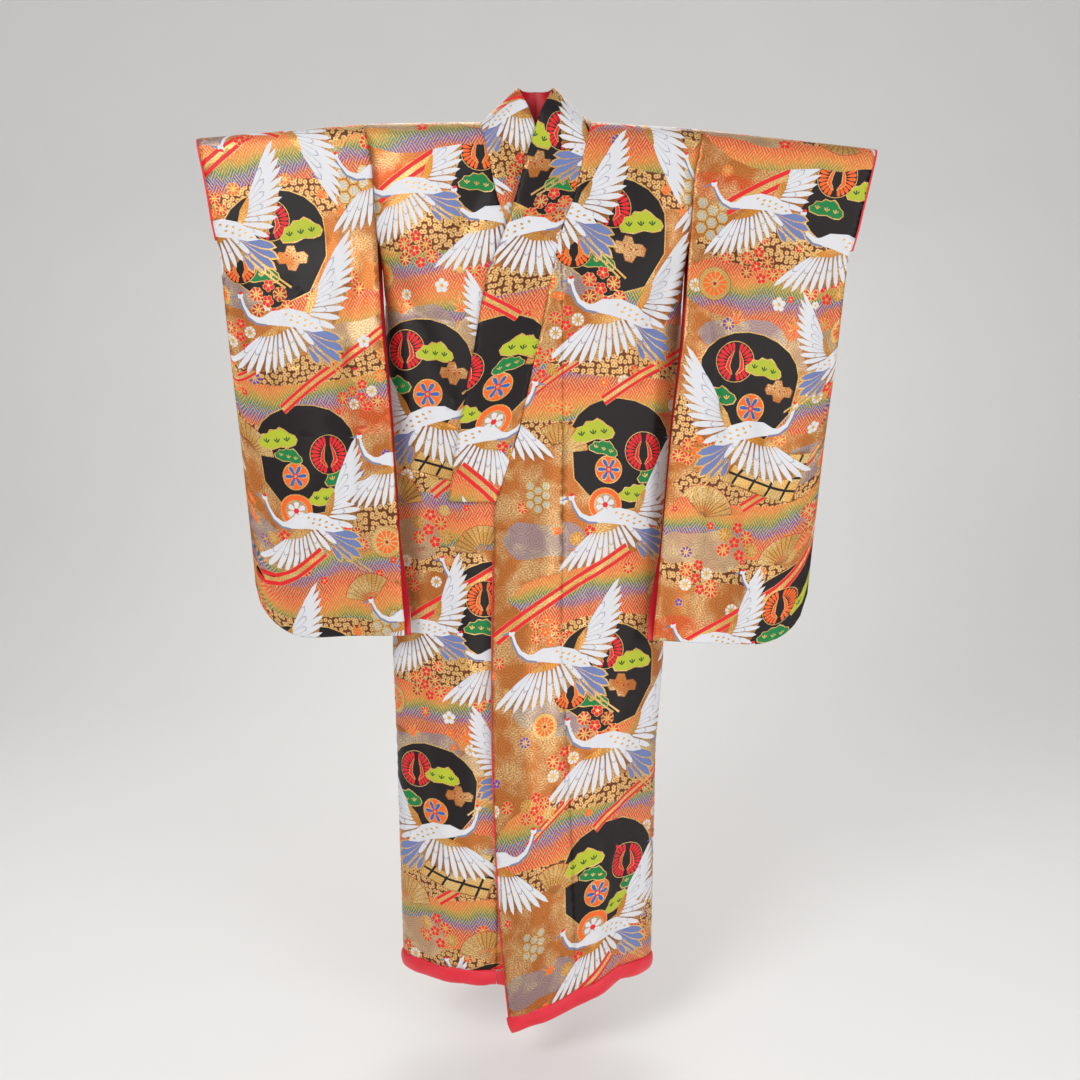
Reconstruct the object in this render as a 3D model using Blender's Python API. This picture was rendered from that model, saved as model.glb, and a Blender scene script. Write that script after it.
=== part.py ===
"""Uchikake: a padded brocade wedding kimono, held up at the neck and filled out with nobody in it.

Frame: metres, +Z up, the front faces -Y, the origin is the middle of the shoulder line at the neck.
Every piece is a wall of cloth over a grid of points on the garment's form. A "row" is a length
measured along the cloth down from the shoulder fold, and a "column" runs from the side to the middle.
"""

import math

import bpy
import numpy as np

WALL = 0.003            # brocade, padding and lining together
SEAM_GAP = 0.0003       # clear space between pieces that are sewn together
HALF_GAP = SEAM_GAP / 2

FOLD_RADIUS = 0.035     # height of the rounded fold over the shoulder
FOLD_LENGTH = 0.055     # cloth in one quarter of that fold
ARMHOLE = 0.24          # row where the sleeve's seam and the collar-to-panel seam end
COLLAR_END = 0.78       # row of the collar's lower end
HEM_ROW = 1.82          # row where the panels stop and the red hem roll begins
HEM_ROLL = 0.036        # height of the hem roll
HEM_PLUMP = 0.0065      # half thickness of the hem roll
TIP_TAPER = 0.55        # how much shallower the roll gets at the overlapping front's tip
NECK_HALF = 0.1155      # half the width of the neck between the shoulder points
NECK_BACK_ROW = 0.06    # how far the neck seam drops at the centre back
CENTRE_SHIFT = -0.02    # the lower body hangs this far to one side
LAP = 0.008             # how far the overlapping front stands off the other
DIP = 0.008             # how far the hidden front is pressed in
TIP_SLOPE = 0.45        # slant of the overlapping front's hem
TIP_START = 0.187       # where that slant begins
SLEEVE_LENGTH = 1.06    # shoulder to foot
SLEEVE_WIDTH = 0.33     # one loom width, less its seams
SLEEVE_CORNER = 0.12    # radius of the rounded outer corner
SLEEVE_FULL = 0.028     # half thickness of the open sleeve at the armhole
CUFF_FULL = 0.015       # and at the cuff
SLEEVE_FLATTEN = 0.012  # how much flatter it hangs lower down
SLEEVE_RIPPLE = 0.006   # depth of its one long wave
BACK_LEAF_REACH = 0.012 # how far the back leaf's lower edge shows past the front leaf's
CUFF_OPENING = 0.23     # length of the opening for the hand
CUFF_PIPING = 0.0035    # how far the red lining stands out there
FRONT_PIPING = 0.0025   # and along the free front edge
PIPING_WALL = 0.0026
COLLAR_TOP = (0.036, 0.044, 0.074)      # half width, depth and height of the standing collar's rim
COLLAR_TOP_FALL = (0.010, 0.004)        # how far that rim comes forward and down at the sides
COLLAR_LEAN = (0.0, -0.010, -0.020, -0.030)  # how far its free edge leans forward, row by row

FRONT_ROWS = (0, 0.018, 0.037, 0.055, 0.09, 0.13, 0.18, ARMHOLE, 0.30, 0.36, 0.44, 0.52, 0.60, 0.69,
              COLLAR_END, 0.90, 1.02, 1.14, 1.26, 1.38, 1.50, 1.60, 1.70, HEM_ROW)
NECK_ROWS = 5           # rows of the back leaf whose inner ends fan round the neck

# Half widths of the body at the side edge, on its two sides.
BODY_SIDE = (
    ("drop", "left", "right"),
    (0.00, 0.343, 0.337), (0.09, 0.329, 0.319), (0.22, 0.323, 0.313), (0.29, 0.3150, 0.3045),
    (0.35, 0.3125, 0.3020), (0.44, 0.317, 0.305), (0.59, 0.309, 0.291), (0.83, 0.303, 0.276),
    (1.00, 0.312, 0.277), (1.10, 0.314, 0.279), (1.30, 0.310, 0.266), (1.84, 0.306, 0.264),
)
# Depth of the form in front of and behind the sides, and at the side edge itself.
BODY_DEPTH = (
    ("drop", "front", "back", "edge"),
    (0.00, 0.048, 0.048, 0.028), (0.10, 0.062, 0.055, 0.028), (0.22, 0.075, 0.062, 0.026),
    (0.36, 0.082, 0.066, HALF_GAP), (1.08, 0.088, 0.066, HALF_GAP), (1.84, 0.100, 0.068, HALF_GAP),
)
# The collar's seam and its free edge, measured from the middle of the neck.
COLLAR_SEAM = (
    ("row", "x"),
    (0.00, NECK_HALF), (0.18, 0.075), (ARMHOLE, 0.0488), (0.39, 0.0198), (0.50, -0.004),
    (0.63, -0.032), (COLLAR_END, -0.082),
)
COLLAR_EDGE = (
    ("row", "x", "z"),
    (0.000, 0.036, 0.070), (0.018, 0.030, 0.054), (0.037, 0.021, 0.036), (0.055, 0.012, 0.018),
    (0.09, -0.004, -0.030), (0.13, -0.020, -0.085), (0.18, -0.038, -0.150), (0.24, -0.062, -0.225),
    (0.30, -0.094, -0.295), (0.36, -0.110, -0.365), (0.44, -0.122, -0.440), (0.52, -0.138, -0.520),
    (0.60, -0.155, -0.600), (0.69, -0.168, -0.680), (0.78, -0.182, -0.760),
)
# The overlap panel: its seam to the front panel and its free edge.
OKUMI = (
    ("row", "seam", "edge"),
    (ARMHOLE, 0.0512, 0.0472), (0.71, 0.056, -0.056), (COLLAR_END, 0.056, -0.084),
    (0.92, 0.055, -0.088), (1.08, 0.054, -0.092), (1.30, 0.067, -0.093), (1.42, 0.074, -0.089),
    (1.63, 0.082, -0.078), (1.75, 0.086, -0.0655), (1.84, 0.088, -0.056),
)
SLEEVE_EDGE = (
    ("drop", "inner_left", "outer_left", "inner_right", "outer_right", "forward"),
    (0.00, 0.343, 0.684, 0.337, 0.689, 0.000), (0.09, 0.329, 0.668, 0.319, 0.671, 0.000),
    (0.22, 0.323, 0.653, 0.313, 0.645, 0.000), (0.28, 0.3195, 0.650, 0.3090, 0.640, 0.018),
    (0.35, 0.3150, 0.646, 0.3040, 0.635, 0.034), (0.42, 0.310, 0.642, 0.299, 0.630, 0.046),
    (0.59, 0.297, 0.629, 0.280, 0.613, 0.056), (0.83, 0.285, 0.614, 0.262, 0.596, 0.067),
    (1.06, 0.2735, 0.603, 0.244, 0.582, 0.085),
)
SHOULDER_Z = {-1: (0.0, -0.002, -0.029), 1: (0.0, -0.013, -0.050)}  # neck, armhole, cuff

RED_SILK = (0.78, 0.045, 0.06, 1)
GOLD_BROCADE = (0.62, 0.24, 0.06, 1)


def column_of(table, key, value, name):
    """A named column of a table, read at a value of its first column."""
    names = table[0]
    rows = np.array(table[1:], float)
    return np.interp(value, rows[:, names.index(key)], rows[:, names.index(name)])


def smooth(low, high, value):
    t = np.clip((np.asarray(value, float) - low) / (high - low), 0, 1)
    return t * t * (3 - 2 * t)


def fold(row):
    """(drop, roundness): how far a row lies below the fold, and how much of the depth it has."""
    row = np.asarray(row, float)
    angle = np.clip(row / FOLD_LENGTH, 0, 1) * math.pi / 2
    drop = FOLD_RADIUS * (1 - np.cos(angle)) + np.maximum(row - FOLD_LENGTH, 0)
    return drop, np.sin(angle)


def body_side(side, drop):
    return side * column_of(BODY_SIDE, "drop", drop, "right" if side > 0 else "left")


def body_depth(x, drop, leaf):
    """Depth of the rounded form at a place, from the two sides' half widths and the bulge."""
    left = body_side(-1, drop)
    right = body_side(1, drop)
    middle = (left + right) / 2
    share = np.clip(np.abs((x - middle) / ((right - left) / 2)), 0, 1)
    bulge = column_of(BODY_DEPTH, "drop", drop, leaf)
    edge = column_of(BODY_DEPTH, "drop", drop, "edge")
    return edge + (bulge - edge) * (1 - share**2) ** 0.55


def folds(x, drop):
    """Shallow upright folds of the hanging cloth."""
    hang = smooth(0.35, 1.0, drop)
    return 0.0035 * hang * np.sin(38 * x + 1.1 * drop) + 0.002 * hang * np.sin(71 * x - 0.9 * drop)


def front_point(side, x, row):
    drop, round_share = fold(row)
    slope = SHOULDER_Z[side][1] * np.clip((np.abs(x) - NECK_HALF) / 0.22, 0, 1)
    inside = smooth(0.0, 0.06, np.abs(body_side(side, drop)) - side * x)
    depth = (body_depth(x, drop, "front") + folds(x, drop) * inside) * round_share
    below = smooth(0.0, 0.09, drop)
    if side > 0:
        depth = depth + LAP * (1 + 0.8 * smooth(1.3, 1.7, drop)) * (1 - smooth(0.10, 0.20, x)) * below
    else:
        depth = depth - DIP * smooth(-0.09, -0.02, x) * below
    tip = TIP_SLOPE * np.maximum(TIP_START - x, 0) * smooth(1.0, HEM_ROW, row) * (side > 0)
    return np.stack([x, -depth, slope - drop - tip], -1)


def back_point(side, x, row):
    drop, round_share = fold(row)
    slope = SHOULDER_Z[side][1] * np.clip((np.abs(x) - NECK_HALF) / 0.22, 0, 1)
    inside = smooth(0.0, 0.06, np.abs(body_side(side, drop)) - side * x)
    depth = (body_depth(x, drop, "back") + folds(x + 0.05, drop) * inside) * round_share
    return np.stack([x, depth, slope - drop], -1)


def centre_back(row):
    return CENTRE_SHIFT * smooth(0.2, 1.1, row)


def seam_x(side, row):
    """Inner edge of the front panel: the collar's seam, then the overlap panel's seam."""
    on_collar = column_of(COLLAR_SEAM, "row", row, "x")
    on_okumi = column_of(OKUMI, "row", row, "seam")
    return side * np.where(np.asarray(row) < ARMHOLE, on_collar, on_okumi)


def neck_seam(side, angle):
    """(x, row) of the neck seam on the back, from the centre back (0) to the shoulder (90 degrees)."""
    return side * NECK_HALF * math.sin(angle), NECK_BACK_ROW * math.cos(angle)


def unit(vectors):
    return vectors / np.linalg.norm(vectors, axis=-1, keepdims=True)


def seam_normals(points, across, outward):
    """Normals shared by the two pieces of a seam, so that their edges face each other squarely."""
    along = np.gradient(points, axis=0)
    normals = unit(np.cross(along, across))
    turned = np.sum(normals * outward, -1) < 0
    normals[turned] *= -1
    return normals


def wall(name, grid, outward, colour, first=None, last=None, thickness=WALL, level_start=False):
    """A closed wall of cloth over a grid of points. outward (1 or -1) turns the grid's own normals to
    the cloth's face, first and last give the normals on its end columns, which face the same way, and
    level_start keeps its first row's edge square to the centre back."""
    normals = unit(np.cross(np.gradient(grid, axis=0), np.gradient(grid, axis=1)))
    normals *= outward
    if level_start:
        normals[0] = unit(normals[0] * [0, 1, 1])
    if first is not None:
        normals[:, 0] = first
    if last is not None:
        normals[:, -1] = last
    if (np.sum(normals[:, :-1] * normals[:, 1:], -1) < 0).any():
        raise ValueError(f"{name}: the wall turns over between two columns")
    rows, columns = grid.shape[:2]
    outer = (grid + normals * thickness / 2).reshape(-1, 3)
    inner = (grid - normals * thickness / 2).reshape(-1, 3)
    index = np.arange(rows * columns).reshape(rows, columns)
    count = rows * columns
    faces = []
    for i in range(rows - 1):
        for j in range(columns - 1):
            a, b, c, d = index[i, j], index[i + 1, j], index[i + 1, j + 1], index[i, j + 1]
            faces += [(a, b, c), (a, c, d)]
            faces += [(a + count, c + count, b + count), (a + count, d + count, c + count)]
    rim = [*index[:, 0], *index[-1, 1:], *index[-2::-1, -1], *index[0, -2:0:-1]]
    for a, b in zip(rim, rim[1:] + rim[:1]):
        faces += [(b, a, a + count), (b, a + count, b + count)]
    faces = np.array(faces)
    if outward < 0:
        faces = faces[:, ::-1]
    return solid(name, np.concatenate([outer, inner]), faces.tolist(), colour)


def solid(name, points, faces, colour):
    mesh = bpy.data.meshes.new(name)
    mesh.from_pydata([tuple(map(float, p)) for p in points], [], faces)
    mesh.shade_smooth()
    mesh.set_sharp_from_angle(angle=math.radians(40))
    made = bpy.data.objects.new(name, mesh)
    bpy.context.scene.collection.objects.link(made)
    material = bpy.data.materials.new(name + "_cloth")
    material.use_nodes = True
    shader = material.node_tree.nodes["Principled BSDF"]
    shader.inputs["Base Color"].default_value = colour
    shader.inputs["Roughness"].default_value = 0.5
    shader.inputs["Metallic"].default_value = 0.0
    mesh.materials.append(material)
    return made


def across_collar(side, stations):
    """Direction across the neck seam: upwards at the centre back, towards the neck at the shoulder."""
    turn = np.clip((np.arange(stations) / (NECK_ROWS - 1)), 0, 1) * math.pi / 2
    return np.stack([-side * np.sin(turn), 0 * turn, np.cos(turn)], -1)


def collar_seam_points(side):
    """The whole seam of one collar half, from the centre back round the neck and down the front."""
    points = []
    for angle in np.linspace(0, math.pi / 2, NECK_ROWS):
        x, row = neck_seam(side, angle)
        points.append(back_point(side, np.array(x), np.array(row)))
    for row in FRONT_ROWS[1:]:
        if row <= COLLAR_END:
            x = side * column_of(COLLAR_SEAM, "row", row, "x")
            points.append(front_point(side, np.array(x), np.array(row)))
    return np.array(points)


def collar_normals(side):
    points = collar_seam_points(side)
    across = across_collar(side, len(points))
    outward = np.zeros_like(points)
    outward[:, 1] = np.where(np.arange(len(points)) < NECK_ROWS - 1, 1, -1)
    outward[NECK_ROWS - 1] = (0, 0, 1)
    return seam_normals(points, across, outward)


def okumi_normals(side, rows):
    points = front_point(side, side * column_of(OKUMI, "row", rows, "seam"), rows)
    across = np.tile([1.0, 0, 0], (len(rows), 1))
    return seam_normals(points, across, np.tile([0.0, -1, 0], (len(rows), 1)))


def body_panel(side):
    """One length of cloth from the back hem over the shoulder to the front hem."""
    columns = np.linspace(0, 1, 9) ** 1.5
    grid, first, last = [], [], []
    neck = collar_normals(side)
    okumi_rows = np.array([row for row in FRONT_ROWS if row >= ARMHOLE])
    okumi = okumi_normals(side, okumi_rows)
    for index in range(len(FRONT_ROWS) - 1, 0, -1):
        row = FRONT_ROWS[index]
        outer = body_side(side, fold(row)[0]) - side * armhole_gap(row)
        if index < NECK_ROWS:
            inner, inner_row = neck_seam(side, math.pi / 2 * (NECK_ROWS - 1 - index) / (NECK_ROWS - 1))
            last.append(neck[NECK_ROWS - 1 - index])
        else:
            inner, inner_row = centre_back(row), row
            last.append((0, 1, 0))
        inner += side * HALF_GAP if index >= NECK_ROWS - 1 else 0
        spread = row + (inner_row - row) * columns
        grid.append(back_point(side, outer + (inner - outer) * columns, spread))
        first.append(edge_normal(side, row, 1))
    for row in FRONT_ROWS:
        outer = body_side(side, fold(row)[0]) - side * armhole_gap(row)
        inner = seam_x(side, row) + side * HALF_GAP
        grid.append(front_point(side, outer + (inner - outer) * columns, np.full(9, row)))
        first.append(edge_normal(side, row, -1))
        if row < ARMHOLE:
            last.append(neck[FRONT_ROWS.index(row) + NECK_ROWS - 1])
        else:
            last.append(okumi[okumi_rows.tolist().index(row)])
    name = f"body_panel_{SIDE[side]}"
    return wall(name, np.array(grid), -side, GOLD_BROCADE, np.array(first), np.array(last))


def armhole_gap(row):
    """The side edge keeps off the sleeve along the armhole seam, and closes on itself below."""
    return HALF_GAP * (1 - smooth(ARMHOLE, 0.30, row))


def edge_normal(side, row, facing):
    """Normal on the side edge: front or back along the armhole, sideways along the side seam."""
    drop, round_share = fold(row)
    turn = smooth(ARMHOLE, 0.36, row) * math.pi / 2
    upright = math.cos(turn)
    lift = math.sqrt(max(1 - round_share**2, 0))
    return np.array([side * math.sin(turn), facing * upright * round_share, upright * lift])


def okumi_panel(side):
    rows = np.array([row for row in FRONT_ROWS if row >= ARMHOLE])
    seam = side * column_of(OKUMI, "row", rows, "seam") - side * HALF_GAP
    on_collar = column_of(COLLAR_SEAM, "row", rows, "x") + HALF_GAP
    edge = side * np.where(rows <= COLLAR_END, on_collar, column_of(OKUMI, "row", rows, "edge"))
    columns = np.array([0, 0.3, 0.64, 1])
    x = seam[:, None] + (edge - seam)[:, None] * columns
    grid = front_point(side, x, np.repeat(rows[:, None], 4, 1))
    neck = collar_normals(side)[NECK_ROWS + FRONT_ROWS.index(ARMHOLE) - 1:]
    free = okumi_normals(side, rows)
    last = np.concatenate([neck, free[len(neck):]])
    return wall(f"okumi_{SIDE[side]}", grid, -side, GOLD_BROCADE, free, last)


def collar(side):
    """Half of the collar band: it stands round the neck and lies flat down the front."""
    seam = collar_seam_points(side)
    rows = np.array([row for row in FRONT_ROWS if row <= COLLAR_END])
    edge_x = side * column_of(COLLAR_EDGE, "row", rows, "x")
    edge_z = column_of(COLLAR_EDGE, "row", rows, "z")
    turn = np.linspace(0, math.pi / 2, NECK_ROWS)
    half, deep, tall = COLLAR_TOP
    forward, down = COLLAR_TOP_FALL
    top_y = deep * np.cos(turn) - forward * (1 - np.cos(turn))
    top = np.stack([side * half * np.sin(turn), top_y, tall - down * np.sin(turn)], -1)
    columns = np.array([0, 0.35, 0.7, 1])
    grid = []
    for i in range(NECK_ROWS):
        grid.append(seam[i] + (top[i] - seam[i]) * columns[:, None])
    for k in range(1, len(rows)):
        start = seam[NECK_ROWS - 1 + k]
        end = np.array([edge_x[k], 0.0, edge_z[k]])
        strip = start + (end - start) * columns[:, None]
        flat_row = np.maximum(FOLD_LENGTH, -strip[:, 2] - FOLD_RADIUS + FOLD_LENGTH)
        on_form = front_point(side, strip[:, 0], flat_row)[:, 1]
        lean = COLLAR_LEAN[min(k, len(COLLAR_LEAN) - 1)]
        free_y = start[1] + (top[-1][1] + lean - start[1]) * columns
        free_y = free_y - (0.7 * LAP * smooth(0.0, 0.055, rows[k]) * columns if side > 0 else 0)
        settle = smooth(0.02, 0.13, rows[k])
        strip[:, 1] = free_y + (on_form - free_y) * settle
        grid.append(strip)
    grid = np.array(grid)
    inward = across_collar(side, len(grid))
    grid[:, 0] += inward * HALF_GAP
    grid[0, :, 0] += side * HALF_GAP
    normals = collar_normals(side)
    return wall(f"collar_{SIDE[side]}", grid, -side, GOLD_BROCADE, normals, level_start=True)


def sleeve_point(side, u, row, leaf, length):
    """A point of a sleeve: u runs from the armhole (0) to the cuff (1), row down one leaf."""
    hand = "right" if side > 0 else "left"
    drop, round_share = fold(row)
    inner = column_of(SLEEVE_EDGE, "drop", drop, "inner_" + hand)
    outer = column_of(SLEEVE_EDGE, "drop", drop, "outer_" + hand)
    if leaf > 0:
        inner = inner - BACK_LEAF_REACH * smooth(0.82, 1.0, drop)
    x = side * (inner + (outer - inner) * u)
    top = SHOULDER_Z[side][1] + (SHOULDER_Z[side][2] - SHOULDER_Z[side][1]) * u
    forward = column_of(SLEEVE_EDGE, "drop", drop, "forward") * (1 - u)
    wave = np.sin(9.5 * u + 1.5 * side) * np.sin(math.pi * u)
    ripple = SLEEVE_RIPPLE * smooth(0.1, 0.9, drop) * wave
    sewn = WALL / 2 + HALF_GAP * 1.6
    full = SLEEVE_FULL + (CUFF_FULL - SLEEVE_FULL) * u
    full = full - SLEEVE_FLATTEN * smooth(0.2, 0.8, drop) * (1 - 0.4 * u)
    closed_side = smooth(CUFF_OPENING - 0.07, CUFF_OPENING, drop) * smooth(0.80, 1.0, u)
    closed_foot = 1 - smooth(0, 0.08, length - row)
    half = full + (sewn - full) * np.maximum(closed_side, closed_foot)
    y = leaf * half * round_share - forward + ripple
    return np.stack([x, y, top - drop], -1)


def sleeve_length(u):
    """Cloth in one leaf below the fold, shorter at the rounded outer corner."""
    across = np.clip(u * SLEEVE_WIDTH - (SLEEVE_WIDTH - SLEEVE_CORNER), 0, SLEEVE_CORNER)
    return SLEEVE_LENGTH - (SLEEVE_CORNER - np.sqrt(SLEEVE_CORNER**2 - across**2))


def sleeve(side):
    """One length of cloth folded over the arm, sewn at the foot and below the cuff, open at the armpit."""
    u = np.array([0, 0.12, 0.27, 0.43, 0.59, 0.74, 0.86, 0.945, 1.0])
    length = sleeve_length(u)
    shared = np.array([row for row in FRONT_ROWS if row < 1.0] + [1.0, SLEEVE_LENGTH])
    grid, first = [], []
    for leaf, rows in ((1, shared[:0:-1]), (-1, shared)):
        for row in rows:
            shortened = ARMHOLE + (row - ARMHOLE) * (length - ARMHOLE) / (SLEEVE_LENGTH - ARMHOLE)
            run = np.where(row <= ARMHOLE, row, shortened)
            points = sleeve_point(side, u, run, leaf, length)
            points[0, 0] += side * HALF_GAP
            grid.append(points)
            first.append(edge_normal(side, min(row, ARMHOLE), leaf))
    return wall(f"sleeve_{SIDE[side]}", np.array(grid), side, GOLD_BROCADE, np.array(first))


def hem_roll(name, side, leaf, start, end):
    """A plump roll of red silk below one panel's hem, between two of the panel's edges."""
    point = front_point if leaf < 0 else back_point
    rows = np.full(7, HEM_ROW)
    at_side_seam = abs(start - body_side(side, HEM_ROW)) < 0.001
    share = np.linspace(0, 1, 7) ** (1.5 if at_side_seam else 1)
    spine = point(side, start + (end - start) * share, rows)
    along = np.gradient(spine, axis=0)
    normals = unit(np.cross(along, [0, 0, 1.0]))
    normals *= np.sign(np.sum(normals * [0, leaf, 0], -1) + 1e-9)[:, None]
    normals[-1] = (0, leaf, 0)
    normals[0] = (side, 0, 0) if at_side_seam else (0, leaf, 0)
    height = np.full(7, HEM_ROLL)
    if side > 0 and leaf < 0:
        height *= 1 - TIP_TAPER * smooth(0.06, -0.06, spine[:, 0])
    ring = np.radians(np.arange(0, 360, 45) + 22.5)
    flats = math.cos(math.radians(22.5))
    points = []
    for centre, normal, tall in zip(spine, normals, height):
        middle = centre - np.array([0, 0, SEAM_GAP + tall / 2])
        for angle in ring:
            out = normal * math.cos(angle) * HEM_PLUMP / flats
            up = np.array([0, 0, math.sin(angle) * tall / 2])
            points.append(middle + out + up)
    count = len(ring)
    faces = []
    for i in range(6):
        for j in range(count):
            a, b = i * count + j, i * count + (j + 1) % count
            faces += [(a, b, b + count), (a, b + count, a + count)]
    last = 6 * count
    faces += [(0, j + 1, j) for j in range(1, count - 1)]
    faces += [(last, last + j, last + j + 1) for j in range(1, count - 1)]
    made = np.array(points)[np.array(faces)]
    if np.einsum("ij,ij->i", made[:, 0], np.cross(made[:, 1], made[:, 2])).sum() < 0:
        faces = [face[::-1] for face in faces]
    return solid(name, points, faces, RED_SILK)


def hem_rolls(side):
    hand = SIDE[side]
    seam = side * float(column_of(OKUMI, "row", HEM_ROW, "seam"))
    edge = side * float(column_of(OKUMI, "row", HEM_ROW, "edge"))
    outer = float(body_side(side, fold(HEM_ROW)[0]))
    hem_roll(f"hem_roll_back_{hand}", side, 1, outer, float(centre_back(HEM_ROW)) + side * HALF_GAP)
    hem_roll(f"hem_roll_front_{hand}", side, -1, outer, seam + side * HALF_GAP)
    hem_roll(f"hem_roll_okumi_{hand}", side, -1, seam - side * HALF_GAP, edge)


def cuff_piping(side):
    """The red lining that stands out along the cuff opening."""
    rows = [row for row in FRONT_ROWS if row <= 0.18] + [0.22]
    grid = []
    for leaf, run in ((1, rows[:0:-1]), (-1, rows)):
        for row in run:
            edge = sleeve_point(side, np.array(1.0), np.array(row), leaf, 1.0)
            near = edge + [side * SEAM_GAP, 0, 0]
            grid.append([near, near + [side * CUFF_PIPING, 0, 0]])
    return wall(f"cuff_piping_{SIDE[side]}", np.array(grid), side, RED_SILK, thickness=PIPING_WALL)


def front_piping(side):
    """The red lining that stands out along the lower free edge of the overlap panel."""
    rows = np.array([row for row in FRONT_ROWS if row >= 0.90])
    edge = side * column_of(OKUMI, "row", rows, "edge")
    near = front_point(side, edge - side * SEAM_GAP, rows)
    far = front_point(side, edge - side * (SEAM_GAP + FRONT_PIPING), rows)
    name = f"front_piping_{SIDE[side]}"
    normals = okumi_normals(side, rows)
    return wall(name, np.stack([near, far], 1), -side, RED_SILK, normals, normals, PIPING_WALL)


SIDE = {-1: "left", 1: "right"}


def main():
    for old in list(bpy.data.objects):
        bpy.data.objects.remove(old)
    for side in (-1, 1):
        body_panel(side)
        okumi_panel(side)
        collar(side)
        sleeve(side)
        hem_rolls(side)
        cuff_piping(side)
        front_piping(side)


main()
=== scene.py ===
"""Looks of a brocade wedding kimono: figured brocade, red silk lining and padded hem roll, as an add-on
that is run as a script. The cloth is drawn as a mosaic: every woven motif is a polygon in the cloth's
own plane, the polygons are cut into one net of triangles, and the net is laid on the garment's form."""

import math
import random

import bpy
import numpy as np
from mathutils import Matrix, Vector
from mathutils.geometry import delaunay_2d_cdt


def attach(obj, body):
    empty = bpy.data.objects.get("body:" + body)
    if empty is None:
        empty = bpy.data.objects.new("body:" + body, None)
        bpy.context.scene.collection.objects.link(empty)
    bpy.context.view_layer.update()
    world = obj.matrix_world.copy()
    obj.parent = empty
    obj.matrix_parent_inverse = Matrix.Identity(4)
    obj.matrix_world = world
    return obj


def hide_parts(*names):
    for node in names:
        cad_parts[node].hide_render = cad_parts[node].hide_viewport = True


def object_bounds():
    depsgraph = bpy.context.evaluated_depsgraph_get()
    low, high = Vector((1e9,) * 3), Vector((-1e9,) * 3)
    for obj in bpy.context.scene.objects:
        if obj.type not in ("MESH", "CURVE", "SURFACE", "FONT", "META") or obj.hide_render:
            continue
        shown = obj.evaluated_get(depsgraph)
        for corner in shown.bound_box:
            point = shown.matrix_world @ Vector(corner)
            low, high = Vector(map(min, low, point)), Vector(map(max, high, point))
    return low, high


bl_info = {
    "name": "Brocade wedding kimono",
    "version": (1, 0, 0),
    "blender": (4, 5, 0),
    "location": "View3D > Sidebar > Kimono",
    "description": "Builds the figured brocade, lining and hem roll of a wedding kimono on its frame",
    "category": "Add Mesh",
}

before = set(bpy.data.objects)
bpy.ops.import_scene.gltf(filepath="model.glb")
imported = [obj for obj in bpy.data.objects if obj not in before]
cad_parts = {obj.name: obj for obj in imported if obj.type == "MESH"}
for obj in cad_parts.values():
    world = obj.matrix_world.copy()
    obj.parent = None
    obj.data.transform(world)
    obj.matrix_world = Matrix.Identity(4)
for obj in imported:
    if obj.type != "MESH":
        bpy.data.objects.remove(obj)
CAD_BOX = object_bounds()

# Form of the garment, as its solids have it ---------------------------------------------------

WALL = 0.003
FOLD_RADIUS = 0.035
FOLD_LENGTH = 0.055
ARMHOLE = 0.24
COLLAR_END = 0.78
HEM_ROW = 1.82
HEM_ROLL = 0.036
HEM_PLUMP = 0.0065
NECK_HALF = 0.1155
NECK_BACK_ROW = 0.06
CENTRE_SHIFT = -0.02
LAP = 0.008
DIP = 0.008
TIP_SLOPE = 0.45
TIP_START = 0.187
SLEEVE_LENGTH = 1.06
SLEEVE_CORNER = 0.12
CUFF_OPENING = 0.23
NECK_ROWS = 5
HALF_GAP = 0.00015
SLEEVE_WIDTH = 0.33
SLEEVE_FULL = 0.028
CUFF_FULL = 0.015
SLEEVE_FLATTEN = 0.012
SLEEVE_RIPPLE = 0.006
BACK_LEAF_REACH = 0.012
TIP_TAPER = 0.55
HEM_CLEAR = 0.0003
COLLAR_WIDTH = 0.125
FRONT_ROWS = (0, 0.018, 0.037, 0.055, 0.09, 0.13, 0.18, ARMHOLE, 0.30, 0.36, 0.44, 0.52, 0.60, 0.69,
              COLLAR_END)
BODY_SIDE = (
    ("drop", "left", "right"),
    (0.00, 0.343, 0.337), (0.09, 0.329, 0.319), (0.22, 0.323, 0.313), (0.29, 0.3150, 0.3045),
    (0.35, 0.3125, 0.3020), (0.44, 0.317, 0.305), (0.59, 0.309, 0.291), (0.83, 0.303, 0.276),
    (1.00, 0.312, 0.277), (1.10, 0.314, 0.279), (1.30, 0.310, 0.266), (1.84, 0.306, 0.264),
)
BODY_DEPTH = (
    ("drop", "front", "back", "edge"),
    (0.00, 0.048, 0.048, 0.028), (0.10, 0.062, 0.055, 0.028), (0.22, 0.075, 0.062, 0.026),
    (0.36, 0.082, 0.066, HALF_GAP), (1.08, 0.088, 0.066, HALF_GAP), (1.84, 0.100, 0.068, HALF_GAP),
)
COLLAR_SEAM = (
    ("row", "x"),
    (0.00, NECK_HALF), (0.18, 0.075), (ARMHOLE, 0.0488), (0.39, 0.0198), (0.50, -0.004),
    (0.63, -0.032), (COLLAR_END, -0.082),
)
COLLAR_EDGE = (
    ("row", "x", "z"),
    (0.000, 0.036, 0.070), (0.018, 0.030, 0.054), (0.037, 0.021, 0.036), (0.055, 0.012, 0.018),
    (0.09, -0.004, -0.030), (0.13, -0.020, -0.085), (0.18, -0.038, -0.150), (0.24, -0.062, -0.225),
    (0.30, -0.094, -0.295), (0.36, -0.110, -0.365), (0.44, -0.122, -0.440), (0.52, -0.138, -0.520),
    (0.60, -0.155, -0.600), (0.69, -0.168, -0.680), (0.78, -0.182, -0.760),
)
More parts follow.
